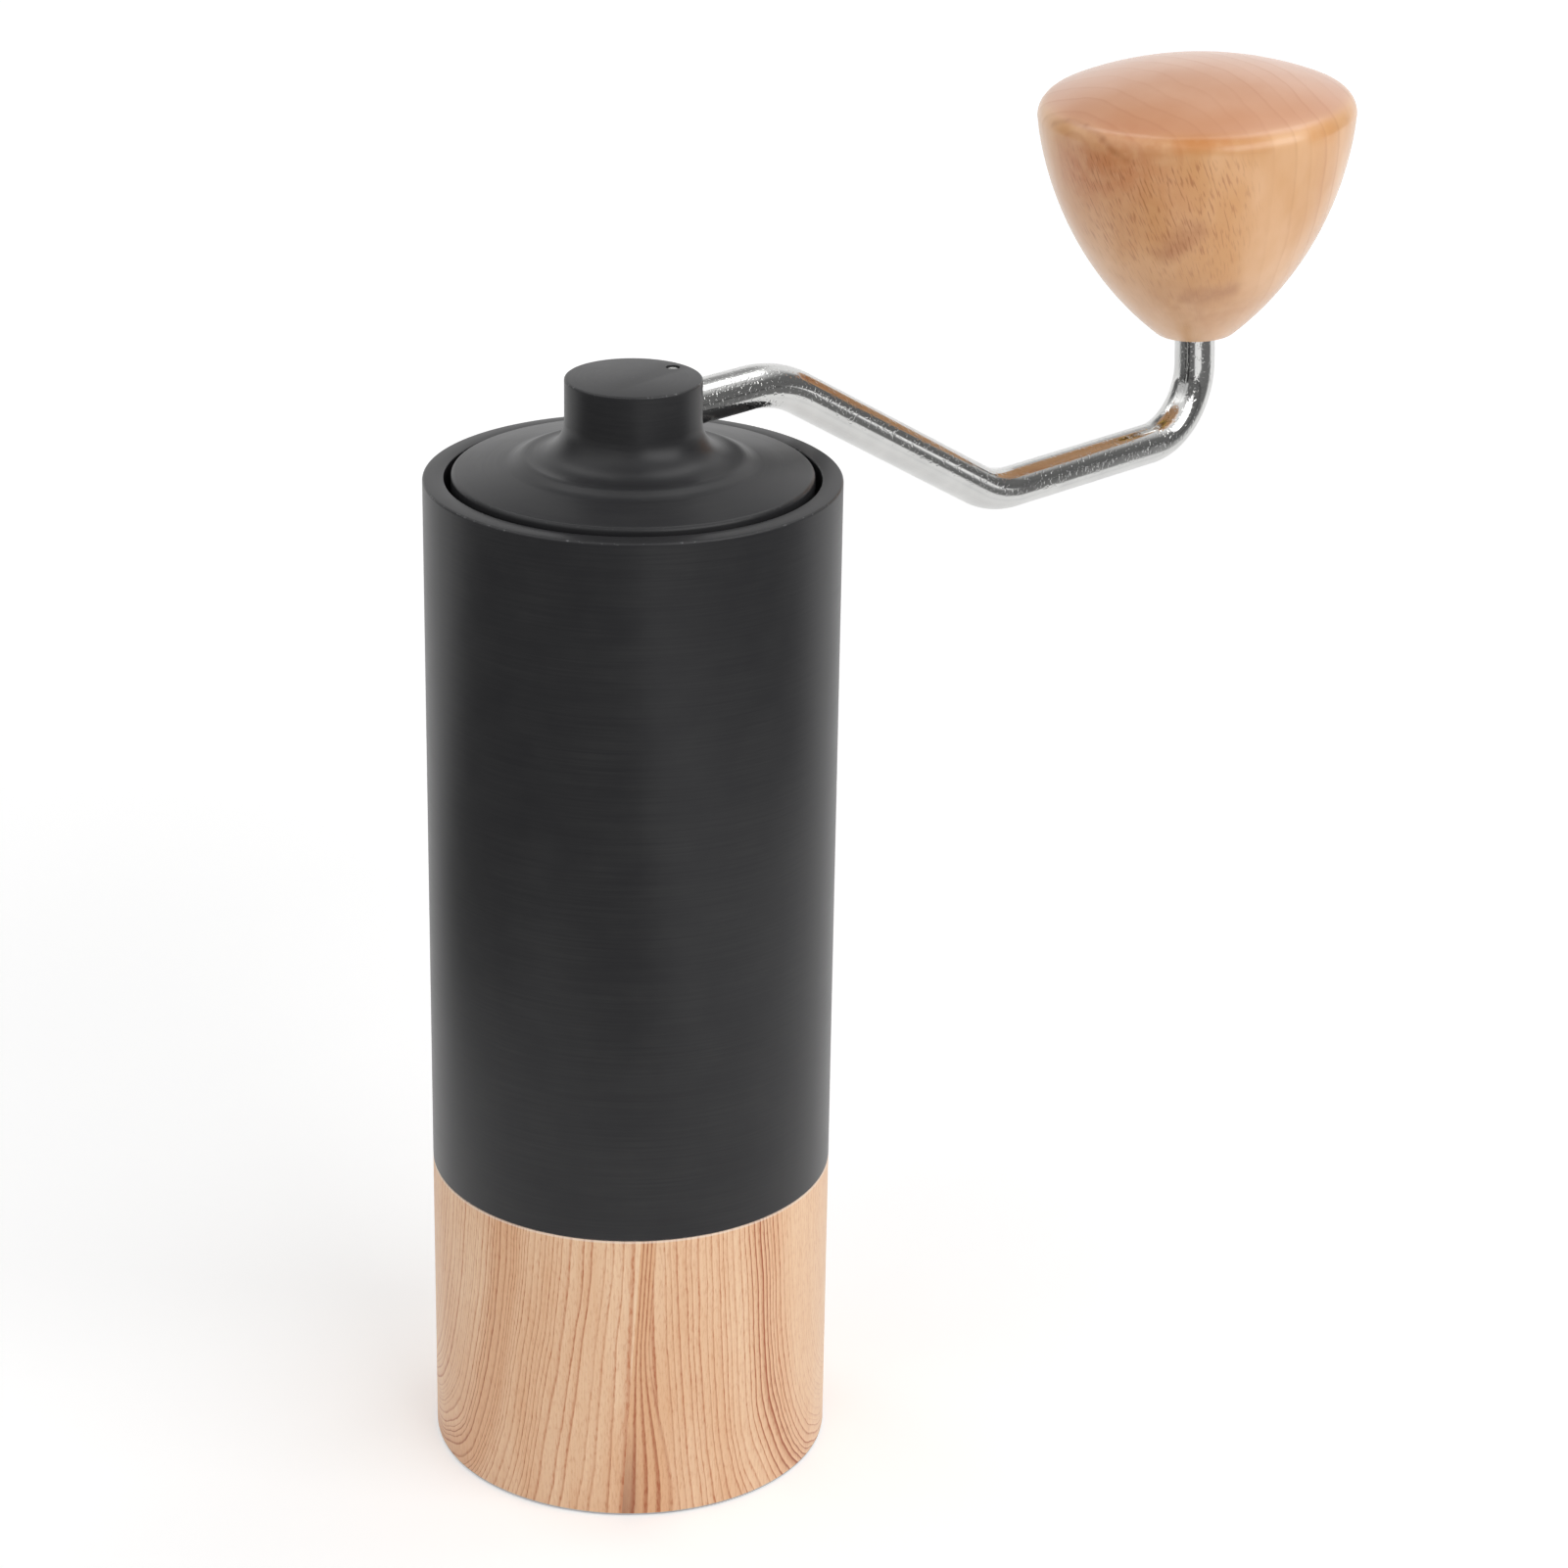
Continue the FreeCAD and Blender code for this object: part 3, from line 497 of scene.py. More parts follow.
    def heart(self, seam: Socket, below: Socket, side: Socket) -> tuple:
        """The dark heart at the right of the seam, which widens towards the foot.

        Args:
            seam: The distance to the seam.
            below: The distance below the top.
            side: One on the right and zero on the left.

        Returns:
            The sockets of the heart, of the lines that fan out in it, and of its darkest corner,
            which is at the seam's foot.
        """
        width = add(Node.SMOOTH, below, self.top_mm / 3, self.top_mm, *self.heart_mm)
        share = add(Node.OVER, seam, width)
        inside = add(Node.SMOOTH, share, 1.15, 0.8)
        inside = add(Node.TIMES, inside, side)
        fan = add(Node.TIMES, share, self.heart_lines)
        fan = add(Node.FRACTION, fan)
        fan = late_wood(fan, (0.45, 0.8), 0.88)
        fan = add(Node.TIMES, fan, 0.75)
        corner = add(Node.SMOOTH, below, self.top_mm * 0.6, self.top_mm)
        close = add(Node.SMOOTH, share, 0.45, 0.0)
        corner = add(Node.TIMES, corner, close)
        corner = add(Node.TIMES, corner, side)
        return inside, fan, corner

    def surface(self, spot: Socket) -> Socket:
        """Pale ground, growth lines of uneven depth, fibres and short flecks."""
        depth, seam, below, side = self.growth(spot)
        heart, fan, corner = self.heart(seam, below, side)
        line = add(Node.BLEND, {0: heart, 2: self.rings(depth, side), 3: fan})
        band, knot = self.bands(spot, depth, side)
        faint = add(Node.RANGE, depth, self.knot_mm - 3.0, self.knot_mm - 7.0, 0.0, -0.55)
        far = add(Node.RANGE, depth, 20.0, 45.0)
        faint = add(Node.TIMES, faint, far)
        faint = add(Node.TIMES_PLUS, faint, side, 1.0)
        line = add(Node.TIMES, line, faint)
        back = math.pi * self.wall_r
        shown = add(Node.SMOOTH, seam, back - 4.0, back - 18.0)
        line = add(Node.TIMES, line, shown)
        near_knot = add(Node.RANGE, side, 0.0, 1.0, 1.4, 2.6)
        near_knot = add(Node.RANGE, knot, 0.0, 1.0, 1.0, near_knot)
        line = add(Node.TIMES, line, near_knot)
        band = add(Node.TIMES, band, faint)
        band = add(Node.LARGER, band, heart)
        shades = []
        for size_mm, low, high in ((self.fibre_mm, 0.35, 0.75), (self.fleck_mm, 0.5, 0.72)):
            scaled = add(Node.SHRINK, spot, size_mm)
            noise = add(Node.NOISE, scaled, {"Scale": 1.0, "Detail": 2.0})
            shades.append(add(Node.RANGE, noise, low, high))
        fibre, fleck = shades
        broken = add(Node.RANGE, fleck, 0.0, 1.0, 0.75, 1.25)
        line = add(Node.TIMES, line, broken)
        deep = add(Node.LARGER, band, knot)
        deep = add(Node.TIMES, line, deep)
        deep = add(Node.RANGE, deep, 0.1, 0.8)
        # Painted highlight: a thin pale line along the top edge, at the seam with the tube.
        cut = add(Node.SMOOTH, below, 0.4, 0.15)
        layers = ((band, 0.6, self.warm), (fibre, 0.35, self.warm), (fleck, 0.26, self.line),
                  (line, 0.95, self.line), (deep, 0.65, self.dark), (corner, 0.6, self.maroon),
                  (cut, 0.45, self.film))
        colour = lay_tints(linear(self.pale), layers)
        rough = add(Node.RANGE, fibre, 0.0, 1.0, 0.44, 0.54)
        bump = add(Node.BUMP, {"Height": fibre, "Strength": 0.15, "Distance": 0.01 * MM})
        return add(Node.SKIN, {"Base Color": colour, "Roughness": rough, "IOR": 1.48,
                               "Normal": bump, "Coat Weight": 0.25, "Coat Roughness": 0.3})


@dataclass(frozen=True)
class Flame:
    """A tinted streak in the wood: its start, end, half width, strength and tint."""

    start: tuple
    end: tuple
    width: float
    strength: float
    tint: str


@dataclass(frozen=True)
class LacqueredBeech(Finish):
    """Turned beech under a clear gloss lacquer.

    Honey wood with thin faint growth lines that run across the dome, soft darker flames where a
    ring lies along the surface, short dark pores there, and a deep even gloss. A pinkish
    reflection is painted on the dome, and a painted shade darkens the ring round its edge.
    """

    pale: str = "#EFBE90"
    honey: str = "#D99A5A"
    ring: str = "#B4683C"
    pore: str = "#9A4818"
    # Painted reflection: the pinkish veil that the white backdrop lays on the dome.
    dome: str = "#D9A18A"
    # Painted shade: the darker tint in a ring round the dome's edge.
    dome_edge_shade: str = "#CE8854"
    ring_mm: float = 3.4
    ring_way: tuple = (0.99, -0.14, 0.07)
    ring_bend: float = 0.006
    cloud_mm: float = 9.0
    pore_mm: tuple = (0.36, 2.2)
    pore_slant: float = 0.3
    pore_way: tuple = (-0.9336, -0.3584, 0.0)
    brim_mm: float = 34.0
    brim_r: float = 23.1
    flames: tuple = (
        Flame((-22.6, -6.0, 31.5), (-22.6, 3.0, 29.5), 8.5, 0.62, "#C46624"),
        Flame((-20.5, 6.0, 25.0), (-20.0, -8.0, 22.0), 12.0, 0.27, "#C4702C"),
        Flame((-11.0, -6.5, 9.5), (-4.0, -9.0, 8.0), 10.0, 0.42, "#B47038"),
        Flame((-19.4, -11.8, 33.0), (-17.9, -10.9, 27.0), 6.0, 0.36, "#D08038"),
        Flame((-21.0, -9.0, 34.5), (-10.0, -21.0, 34.8), 2.4, 0.45, "#CC8444"),
        Flame((-18.5, -13.0, 35.0), (-14.5, -17.5, 35.2), 2.2, 0.55, "#D08038"),
        Flame((-1.5, -23.0, 34.6), (2.0, -22.9, 34.0), 2.6, 0.5, "#DA9248"),
        Flame((-17.2, -8.6, 17.6), (-16.0, -13.0, 21.6), 3.2, 0.6, "#AE6838"),
        Flame((-11.6, -8.9, 10.2), (-8.0, -13.2, 10.9), 2.8, 0.5, "#B07248"),
        Flame((-20.9, 9.3, 34.5), (-20.9, 6.4, 35.5), 0.9, 0.3, "#A4602C"),
        Flame((-20.9, 6.4, 35.5), (-21.6, 2.4, 35.5), 0.9, 0.35, "#A4602C"),
        Flame((-21.6, 2.4, 35.5), (-22.7, -1.6, 34.7), 0.9, 0.35, "#A4602C"),
        Flame((-22.7, -1.6, 34.7), (-23.0, -4.4, 33.0), 0.9, 0.35, "#A4602C"),
        Flame((-23.0, -4.4, 33.0), (-22.5, -6.1, 32.1), 0.9, 0.3, "#A4602C"),
    )

    def surface(self, spot: Socket) -> Socket:
        """Growth rings, clouds, flames and pores under a gloss coat, with a painted reflection on
        the dome and painted shade round its edge.
        """
        flat = add(Node.STRETCH, spot, (1.0, 1.0, 0.0))
        way = add(Node.UNIT, flat)
        facing = add(Node.DOT, way, self.pore_way)
        height = add(Node.SPLIT, spot, out="Z")
        flank = add(Node.SMOOTH, height, self.brim_mm, self.brim_mm - 3.0)
        line = self.rings(spot)
        faint = add(Node.RANGE, facing, 0.3, 0.8, 0.0, 0.8)
        faint = add(Node.TIMES, faint, flank)
        faint = add(Node.MINUS, 1.0, faint)
        line = add(Node.TIMES, line, faint)
        upright = add(Node.STRETCH, spot, (1.0, 1.0, 0.5))
        cloud = add(Node.NOISE, upright, {"Scale": 1 / self.cloud_mm, "Detail": 3.0})
        cloud = add(Node.RANGE, cloud, 0.36, 0.7)
        thick = add(Node.SMOOTH, facing, 0.68, 0.93, 0.04)
        pore = add(Node.TIMES, self.pores(spot), thick)
        pore = add(Node.TIMES, pore, flank)
        low = add(Node.RANGE, height, 7.0, 20.0, 0.15)
        pore = add(Node.TIMES, pore, low)
        # Painted reflection: the dome is tinted pinkish for the backdrop's veil. Painted shade: a
        # darker ring just above the brim.
        end = add(Node.SMOOTH, height, self.brim_mm + 0.8, self.brim_mm + 2.3)
        dome_edge_shade = add(Node.SMOOTH, height, self.brim_mm + 5.0, self.brim_mm + 2.8)
        dome_edge_shade = add(Node.TIMES, dome_edge_shade, end)
        layers = [(cloud, 0.7, self.honey), (end, 0.6, self.dome), (dome_edge_shade, 0.42, self.dome_edge_shade),
                  (line, 0.22, self.ring), *self.flame_layers(spot), (pore, 0.46, self.pore)]
        colour = lay_tints(linear(self.pale), layers)
        rough = add(Node.RANGE, line, 0.0, 1.0, 0.42, 0.52)
        peel = add(Node.NOISE, spot, {"Scale": 1 / 2.4, "Detail": 1.0})
        bump = add(Node.BUMP, {"Height": peel, "Strength": 0.3, "Distance": 0.03 * MM})
        bump = add(Node.DENT, {"Height": pore, "Strength": 0.2, "Distance": 0.006 * MM,
                               "Normal": bump})
        return add(Node.SKIN, {"Base Color": colour, "Roughness": rough, "IOR": 1.25,
                               "Normal": bump, "Coat Weight": 1.0, "Coat Roughness": 0.26,
                               "Coat Normal": bump})

    def pores(self, spot: Socket) -> Socket:
        """Short pores, drawn out down the flank where it cuts them at a slant."""
        behind = add(Node.STRETCH, spot, (-1.0, -1.0, 1.0))
        parts = add(Node.SPLIT, behind).node.outputs
        around = add(Node.ANGLE, parts["Y"], parts["X"])
        slant = add(Node.TIMES, parts["Z"], self.pore_slant / self.brim_r)
        around = add(Node.PLUS, around, slant)
        around = add(Node.TIMES, around, self.brim_r / self.pore_mm[0])
        along = add(Node.TIMES, parts["Z"], 1 / self.pore_mm[1])
        place = add(Node.JOIN, {0: around, 2: along})
        noise = add(Node.NOISE, place, {"Scale": 1.0, "Detail": 1.0})
        return add(Node.RANGE, noise, 0.54, 0.68)

    def rings(self, spot: Socket) -> Socket:
        """Growth lines of uneven strength, which are upright sheets a few millimetres apart."""
        across = add(Node.DOT, spot, self.ring_way)
        along = add(Node.SPLIT, spot, out="Y")
        bend = add(Node.TIMES, along, along)
        depth = add(Node.TIMES_PLUS, bend, self.ring_bend, across)
        upright = add(Node.STRETCH, spot, (1.0, 1.0, 0.5))
        for size_mm, shift in ((14.0, 5.0), (4.0, 0.6)):
            wave = add(Node.NOISE, upright, {"Scale": 1 / size_mm, "Detail": 1.5})
            wave = add(Node.MINUS, wave, 0.5)
            depth = add(Node.TIMES_PLUS, wave, shift, depth)
        count = add(Node.TIMES, depth, 1 / self.ring_mm)
        number = add(Node.FLOOR, count)
        phase = add(Node.FRACTION, count)
        chance = add(Node.CHANCE, {"W": number})
        chance = add(Node.RANGE, chance, 0.0, 1.0, 0.35, 1.0)
        line = late_wood(phase, (0.74, 0.92), 0.92)
        return add(Node.TIMES, line, chance)

    def flame_layers(self, spot: Socket) -> list:
        """The flames as tints, with edges that waver and a depth that comes and goes.

        Args:
            spot: The place.

        Returns:
            For each flame, where it lies, its strength and its tint.
        """
        waver = add(Node.NOISE, spot, {"Scale": 1 / 3.0, "Detail": 2.0}, out="Color")
        waver = add(Node.OFFSET, waver, (0.5, 0.5, 0.5))
        place = add(Node.STRETCH_SHIFT, waver, (0.2, 0.2, 0.2), spot)
        depth = add(Node.NOISE, spot, {"Scale": 1 / 2.0, "Detail": 2.0})
        depth = add(Node.RANGE, depth, 0.3, 0.6, 0.6)
        layers = []
        for flame in self.flames:
            run = Vector(flame.end) - Vector(flame.start)
            offset = add(Node.OFFSET, place, flame.start)
            share = add(Node.DOT, offset, run / run.length_squared)
            share = add(Node.RANGE, share)
            near = add(Node.SCALED, {0: run, "Scale": share})
            gap = add(Node.DISTANCE, offset, near)
            inside = add(Node.SMOOTH, gap, flame.width, 0.0)
            inside = add(Node.TIMES, inside, depth)
            layers.append((inside, flame.strength, flame.tint))
        return layers


@dataclass(frozen=True)
class Metal(Finish):
    """A bare machined metal.

    Its colour is the metal's own reflection, with fine tool lines, and cloudy patches in the
    sheen where it has been handled.
    """

    colour: str = "#C9C9C7"
    dull: str = "#A9A9A8"
    rough: tuple = (0.2, 0.32)
    line_mm: float = 0.25
    line_depth: float = 0.004
    cloud_mm: float = 4.0
    pit_mm: float = 0.45
    pit_depth: float = 0.016
    line_way: Optional[tuple] = None

    def surface(self, spot: Socket) -> Socket:
        """Reflecting metal with tool lines round the axis, or across a given way."""
        if self.line_way:
            along = add(Node.DOT, spot, self.line_way)
            lines = add(Node.NOISE_1D, {"W": along, "Scale": 1 / self.line_mm, "Detail": 2.0})
        else:
            lines = turned_lines(spot, self.line_mm, 1.0)[0]
        cloud = add(Node.NOISE, spot, {"Scale": 1 / self.cloud_mm, "Detail": 4.0})
        mixed = add(Node.TIMES, lines, cloud)
        share = add(Node.RANGE, mixed, 0.1, 0.45)
        colour = lay_tints(linear(self.colour), [(share, 1.0, self.dull)])
        rough = add(Node.RANGE, mixed, 0.1, 0.45, *self.rough)
        bump = add(Node.BUMP, {"Height": lines, "Strength": 0.5, "Distance": self.line_depth * MM})
        pits = add(Node.NOISE, spot, {"Scale": 1 / self.pit_mm, "Detail": 1.0})
        pits = add(Node.RANGE, pits, 0.56, 0.72)
        bump = add(Node.DENT, {"Height": pits, "Strength": 0.5, "Distance": self.pit_depth * MM,
                               "Normal": bump})
        return add(Node.SKIN, {"Base Color": colour, "Metallic": 1.0, "Roughness": rough,
                               "Normal": bump})


@dataclass(frozen=True)
class Moulded(Finish):
    """A moulded plastic or rubber: a dull grained skin with paler scuffs."""

    colour: str = "#202021"
    scuff: str = "#3A3A3B"
    rough: tuple = (0.5, 0.62)
    grain_mm: float = 0.35
    grain_depth: float = 0.02
    ior: float = 1.52

    def surface(self, spot: Socket) -> Socket:
        """Even colour with a fine spark-eroded grain and soft scuffs."""
        grain = add(Node.NOISE, spot, {"Scale": 1 / self.grain_mm, "Detail": 2.0})
        cloud = add(Node.NOISE, spot, {"Scale": 1 / 5.0, "Detail": 4.0})
        share = add(Node.RANGE, cloud, 0.5, 0.8, 0.0, 0.6)
        colour = lay_tints(linear(self.colour), [(share, 1.0, self.scuff)])
        rough = add(Node.RANGE, grain, 0.3, 0.7, *self.rough)
        bump = add(Node.BUMP, {"Height": grain, "Strength": 0.4, "Distance": self.grain_depth * MM})
        return add(Node.SKIN, {"Base Color": colour, "Roughness": rough, "IOR": self.ior,
                               "Normal": bump})


@dataclass(frozen=True)
class Corner:
    """A corner of a turned outline: its distance from the axis, its height and its rounding."""

    radius: float
    height: float
    round: float = 0.0
    steps: int = 4


def turn_between(before: Corner, corner: Corner, after: Corner) -> float:
    """The angle by which an outline turns at a corner."""
    way_in = Vector((corner.radius - before.radius, corner.height - before.height))
    way_out = Vector((after.radius - corner.radius, after.height - corner.height))
    return way_in.angle(way_out)


def arc(start: tuple, end: tuple, bulge: float, steps: int) -> list:
    """Corners along an arc that stands out from its chord by the bulge.

    Args:
        start: Distance from the axis and height of the first end.
        end: The same of the last end.
        bulge: How far the arc's middle stands out, away from the axis on the way up.
        steps: The number of pieces that the arc is cut into.

    Returns:
        The corners, both ends included.
    """
    first, last = Vector(start), Vector(end)
    chord = last - first
    outward = Vector((chord.y, -chord.x)).normalized()
    half = chord.length / 2
    radius = (half ** 2 + bulge ** 2) / (2 * bulge)
    middle = (first + last) / 2 - outward * (radius - bulge)
    sweep = math.asin(half / radius)
    corners = []
    for index in range(steps + 1):
        angle = sweep * (2 * index / steps - 1)
        out, along = radius * math.cos(angle), radius * math.sin(angle)
        point = middle + outward * out + chord.normalized() * along
        corners.append(Corner(max(point.x, 0.0), point.y))
    return corners


def start_clean() -> None:
    """Leave edit mode and select nothing."""
    if bpy.context.object and bpy.context.object.mode != "OBJECT":
        bpy.ops.object.mode_set(mode="OBJECT")
    bpy.ops.object.select_all(action="DESELECT")


def take_up(piece: Piece) -> None:
    """Make one piece the selected and active one."""
    start_clean()
    piece.select_set(True)
    bpy.context.view_layer.objects.active = piece


def pick_points(piece: Piece, wanted: Callable[[Vector], bool]) -> None:
    """In edit mode, select the points that pass a test, and the edges and faces between them.

    Args:
        piece: The piece in edit mode.
        wanted: The test, given a point in millimetres.
    """
    bpy.ops.mesh.select_mode(type="VERT")
    bpy.ops.mesh.select_all(action="DESELECT")
    shape = bmesh.from_edit_mesh(piece.data)
    for point in shape.verts:
        point.select = wanted(point.co / MM)
    shape.select_flush(True)
    bmesh.update_edit_mesh(piece.data)


def pick_ring(piece: Piece, radius: float, height: float) -> None:
    """In edit mode, select the ring of points at a radius and a height."""
    def on_ring(point: Vector) -> bool:
        """Whether a point lies on the ring."""
        return abs(math.hypot(point.x, point.y) - radius) < NEAR and abs(point.z - height) < NEAR

    pick_points(piece, on_ring)


def merge() -> None:
    """In edit mode, merge doubles and turn the faces outwards."""
    bpy.ops.mesh.select_all(action="SELECT")
    bpy.ops.mesh.remove_doubles(threshold=MERGE)
    bpy.ops.mesh.normals_make_consistent(inside=False)


def close_mesh(piece: Piece) -> None:
    """Merge doubles and leave edit mode with smooth shading."""
    merge()
    take_up(piece)
    bpy.ops.object.shade_smooth_by_angle(angle=CRISP)


def lathe(name: str, outline: Sequence[Corner], sides: int = SIDES, capped: bool = True) -> Piece:
    """Turn a piece: a circle is pulled along an outline, and its corners are rounded.

    Args:
        name: The piece's name.
        outline: Its corners in order; a last one on the axis closes that end.
        sides: The number of sides of the circle.
        capped: Whether the first circle is closed with a flat face.

    Returns:
        The piece, in object mode.
    """
    start_clean()
    first = outline[0]
    place = (0, 0, first.height * MM)
    bpy.ops.mesh.primitive_circle_add(vertices=sides, radius=first.radius * MM, location=place)
    piece = bpy.context.object
    piece.name = name
    piece.data.name = name
    bpy.ops.object.transform_apply()
    bpy.ops.object.mode_set(mode="EDIT")
    for before, corner in zip(outline, outline[1:]):
        rise = (0, 0, (corner.height - before.height) * MM)
        bpy.ops.mesh.extrude_region_move(TRANSFORM_OT_translate={"value": rise})
        share = corner.radius / before.radius
        centre = (0, 0, corner.height * MM)
        bpy.ops.transform.resize(value=(share, share, 1), center_override=centre)
    if capped:
        pick_ring(piece, first.radius, first.height)
        bpy.ops.mesh.edge_face_add()
    merge()
    axis_end = Corner(0.0, first.height)
    for index, corner in enumerate(outline):
        if not corner.round:
            continue
        before = outline[index - 1] if index else axis_end
        reach = corner.round * math.tan(turn_between(before, corner, outline[index + 1]) / 2)
        pick_ring(piece, corner.radius, corner.height)
        bpy.ops.mesh.bevel(offset=reach * MM, segments=corner.steps, affect="EDGES",
                           clamp_overlap=False)
    close_mesh(piece)
    return piece


def drill(piece: Piece, radius: float, start: Vector, way: Vector, depth: float) -> None:
    """Bore a round hole into a piece.

    Args:
        piece: The piece that is bored.
        radius: The hole's radius.
        start: The middle of one end of the hole.
        way: The direction it goes in.
        depth: Its length.
    """
    start_clean()
    turn = Vector((0, 0, 1)).rotation_difference(way).to_euler()
    middle = (start + way * (depth / 2)) * MM
    bpy.ops.mesh.primitive_cylinder_add(vertices=BORE_SIDES, radius=radius * MM, depth=depth * MM,
                                        location=middle, rotation=turn)
    bit = bpy.context.object
    take_up(piece)
    cut = piece.modifiers.new("bore", "BOOLEAN")
    cut.object = bit
    cut.solver = "EXACT"
    bpy.ops.object.modifier_apply(modifier=cut.name)
    bpy.data.meshes.remove(bit.data)
    bpy.ops.object.shade_smooth_by_angle(angle=CRISP)


def hand_over(piece: Piece, body: Body, node: str, finish: Finish) -> Piece:
    """Give a piece its finish and its body, and hide the node that it stands for.

    Args:
        piece: The new piece.
        body: The body it rides on.
        node: The node that it replaces.
        finish: Its finish.

    Returns:
        The piece.
    """
    piece.data.materials.clear()
    piece.data.materials.append(finish.material())
    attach(piece, body.value)
    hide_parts(node)
    LOG.info("%s: %d faces, %s", piece.name, len(piece.data.polygons), finish.name)
    return piece


ALUMINIUM = Metal("turned_aluminium", Slot.PRINT, colour="#C8C9CB", dull="#B2B3B6",
                  rough=(0.28, 0.4))
STEEL = Metal("turned_bright_steel", Slot.STEEL)


@dataclass
class BodyTube:
    """The straight black tube with its stepped bore and two grooves for snap rings."""

    outer_r: float = TUBE_R
    mouth_r: float = 24.7
    hopper_r: float = 24.2
    lower_r: float = 25.1
    bottom_z: float = SEAM_Z
    rim_z: float = 140.8
    bridge_z: float = 112.0
    carrier_z: float = 88.0
    groove_depth: float = 0.7
    groove_width: float = 1.2
    upper_groove_z: float = 119.5
    lower_groove_z: float = 54.8
    rim_round: float = 0.35
    seam_round: float = SEAM_ROUND

    def groove(self, wall_r: float, bottom_z: float) -> list:
        """The corners of a ring groove, from the top down."""
        deep_r = wall_r + self.groove_depth
        top_z = bottom_z + self.groove_width
        corners = ((wall_r, top_z), (deep_r, top_z), (deep_r, bottom_z), (wall_r, bottom_z))
        return [Corner(*corner) for corner in corners]

    def build(self) -> Piece:
        """Turn the tube and dress it."""
        outline = [
            Corner(self.lower_r, self.bottom_z),
            Corner(self.outer_r, self.bottom_z, self.seam_round),
            Corner(self.outer_r, self.rim_z, self.rim_round),
            Corner(self.mouth_r, self.rim_z, self.seam_round),
            *self.groove(self.mouth_r, self.upper_groove_z),
            Corner(self.mouth_r, self.bridge_z),
            Corner(self.hopper_r, self.bridge_z),
            Corner(self.hopper_r, self.carrier_z),
            Corner(self.lower_r, self.carrier_z),
            *self.groove(self.lower_r, self.lower_groove_z),
            Corner(self.lower_r, self.bottom_z),
        ]
        piece = lathe("black_tube", outline, capped=False)
        edges = ((self.outer_r, self.rim_z), (self.mouth_r, self.rim_z),
                 (self.outer_r, self.bottom_z))
        finish = BlackAnodised("black_anodised_tube", Slot.BLACK, edges=edges)
        return hand_over(piece, Body.TUBE, "body_tube", finish)


@dataclass
class CatchCup:
    """The cup under the seam: printed outside, bare aluminium inside and on its neck."""

    outer_r: float = TUBE_R
    inner_r: float = 25.0
    floor_z: float = 2.5
    floor_round: float = 3.0
    foot_round: float = 0.4
    seam_z: float = SEAM_Z
    seam_round: float = SEAM_ROUND
    neck_r: float = 25.0
    neck_bore_r: float = 22.0
    neck_top_z: float = 52.5
    shoulder: float = 4.0
    groove_r: float = 23.5
    groove_z: float = 47.0
    groove_width: float = 2.0
    seam_turn: float = math.radians(2.4)

    def build(self) -> Piece:
        """Turn the cup, then dress the outer wall and the rest apart."""
        groove_top_z = self.groove_z + self.groove_width
        outline = [
            Corner(self.outer_r, 0.0, self.foot_round),
            Corner(self.outer_r, self.seam_z, self.seam_round),
            Corner(self.neck_r, self.seam_z),
            Corner(self.neck_r, self.groove_z),
            Corner(self.groove_r, self.groove_z),
            Corner(self.groove_r, groove_top_z),
            Corner(self.neck_r, groove_top_z),
            Corner(self.neck_r, self.neck_top_z, self.seam_round),
            Corner(self.neck_bore_r, self.neck_top_z, self.seam_round),
            Corner(self.neck_bore_r, self.seam_z),
            Corner(self.inner_r, self.seam_z - self.shoulder),
            Corner(self.inner_r, self.floor_z, self.floor_round, 8),
            Corner(0.0, self.floor_z),
        ]
        piece = lathe("printed_cup", outline)
        back = math.radians(90.0) - CRANK_TURN - self.seam_turn
        finish = PinePrint("pine_print_on_aluminium", Slot.PRINT, turn=(0.0, 0.0, back))
        hand_over(piece, Body.CUP, "catch_cup", finish)
        self.bare_inside(piece)
        return piece

    def bare_inside(self, piece: Piece) -> None:
        """Give the bare metal to the faces inside the printed wall and to those below the film."""
        piece.data.materials.append(ALUMINIUM.material())
        take_up(piece)
        bpy.ops.object.mode_set(mode="EDIT")
        limit = self.outer_r - self.seam_round + NEAR
        film_end_z = self.foot_round + NEAR

        def inside(point: Vector) -> bool:
            """Whether a point lies inside the printed wall or below the film."""
            return math.hypot(point.x, point.y) < limit or point.z < film_end_z

        pick_points(piece, inside)
        piece.active_material_index = 1
        bpy.ops.object.material_slot_assign()
        start_clean()


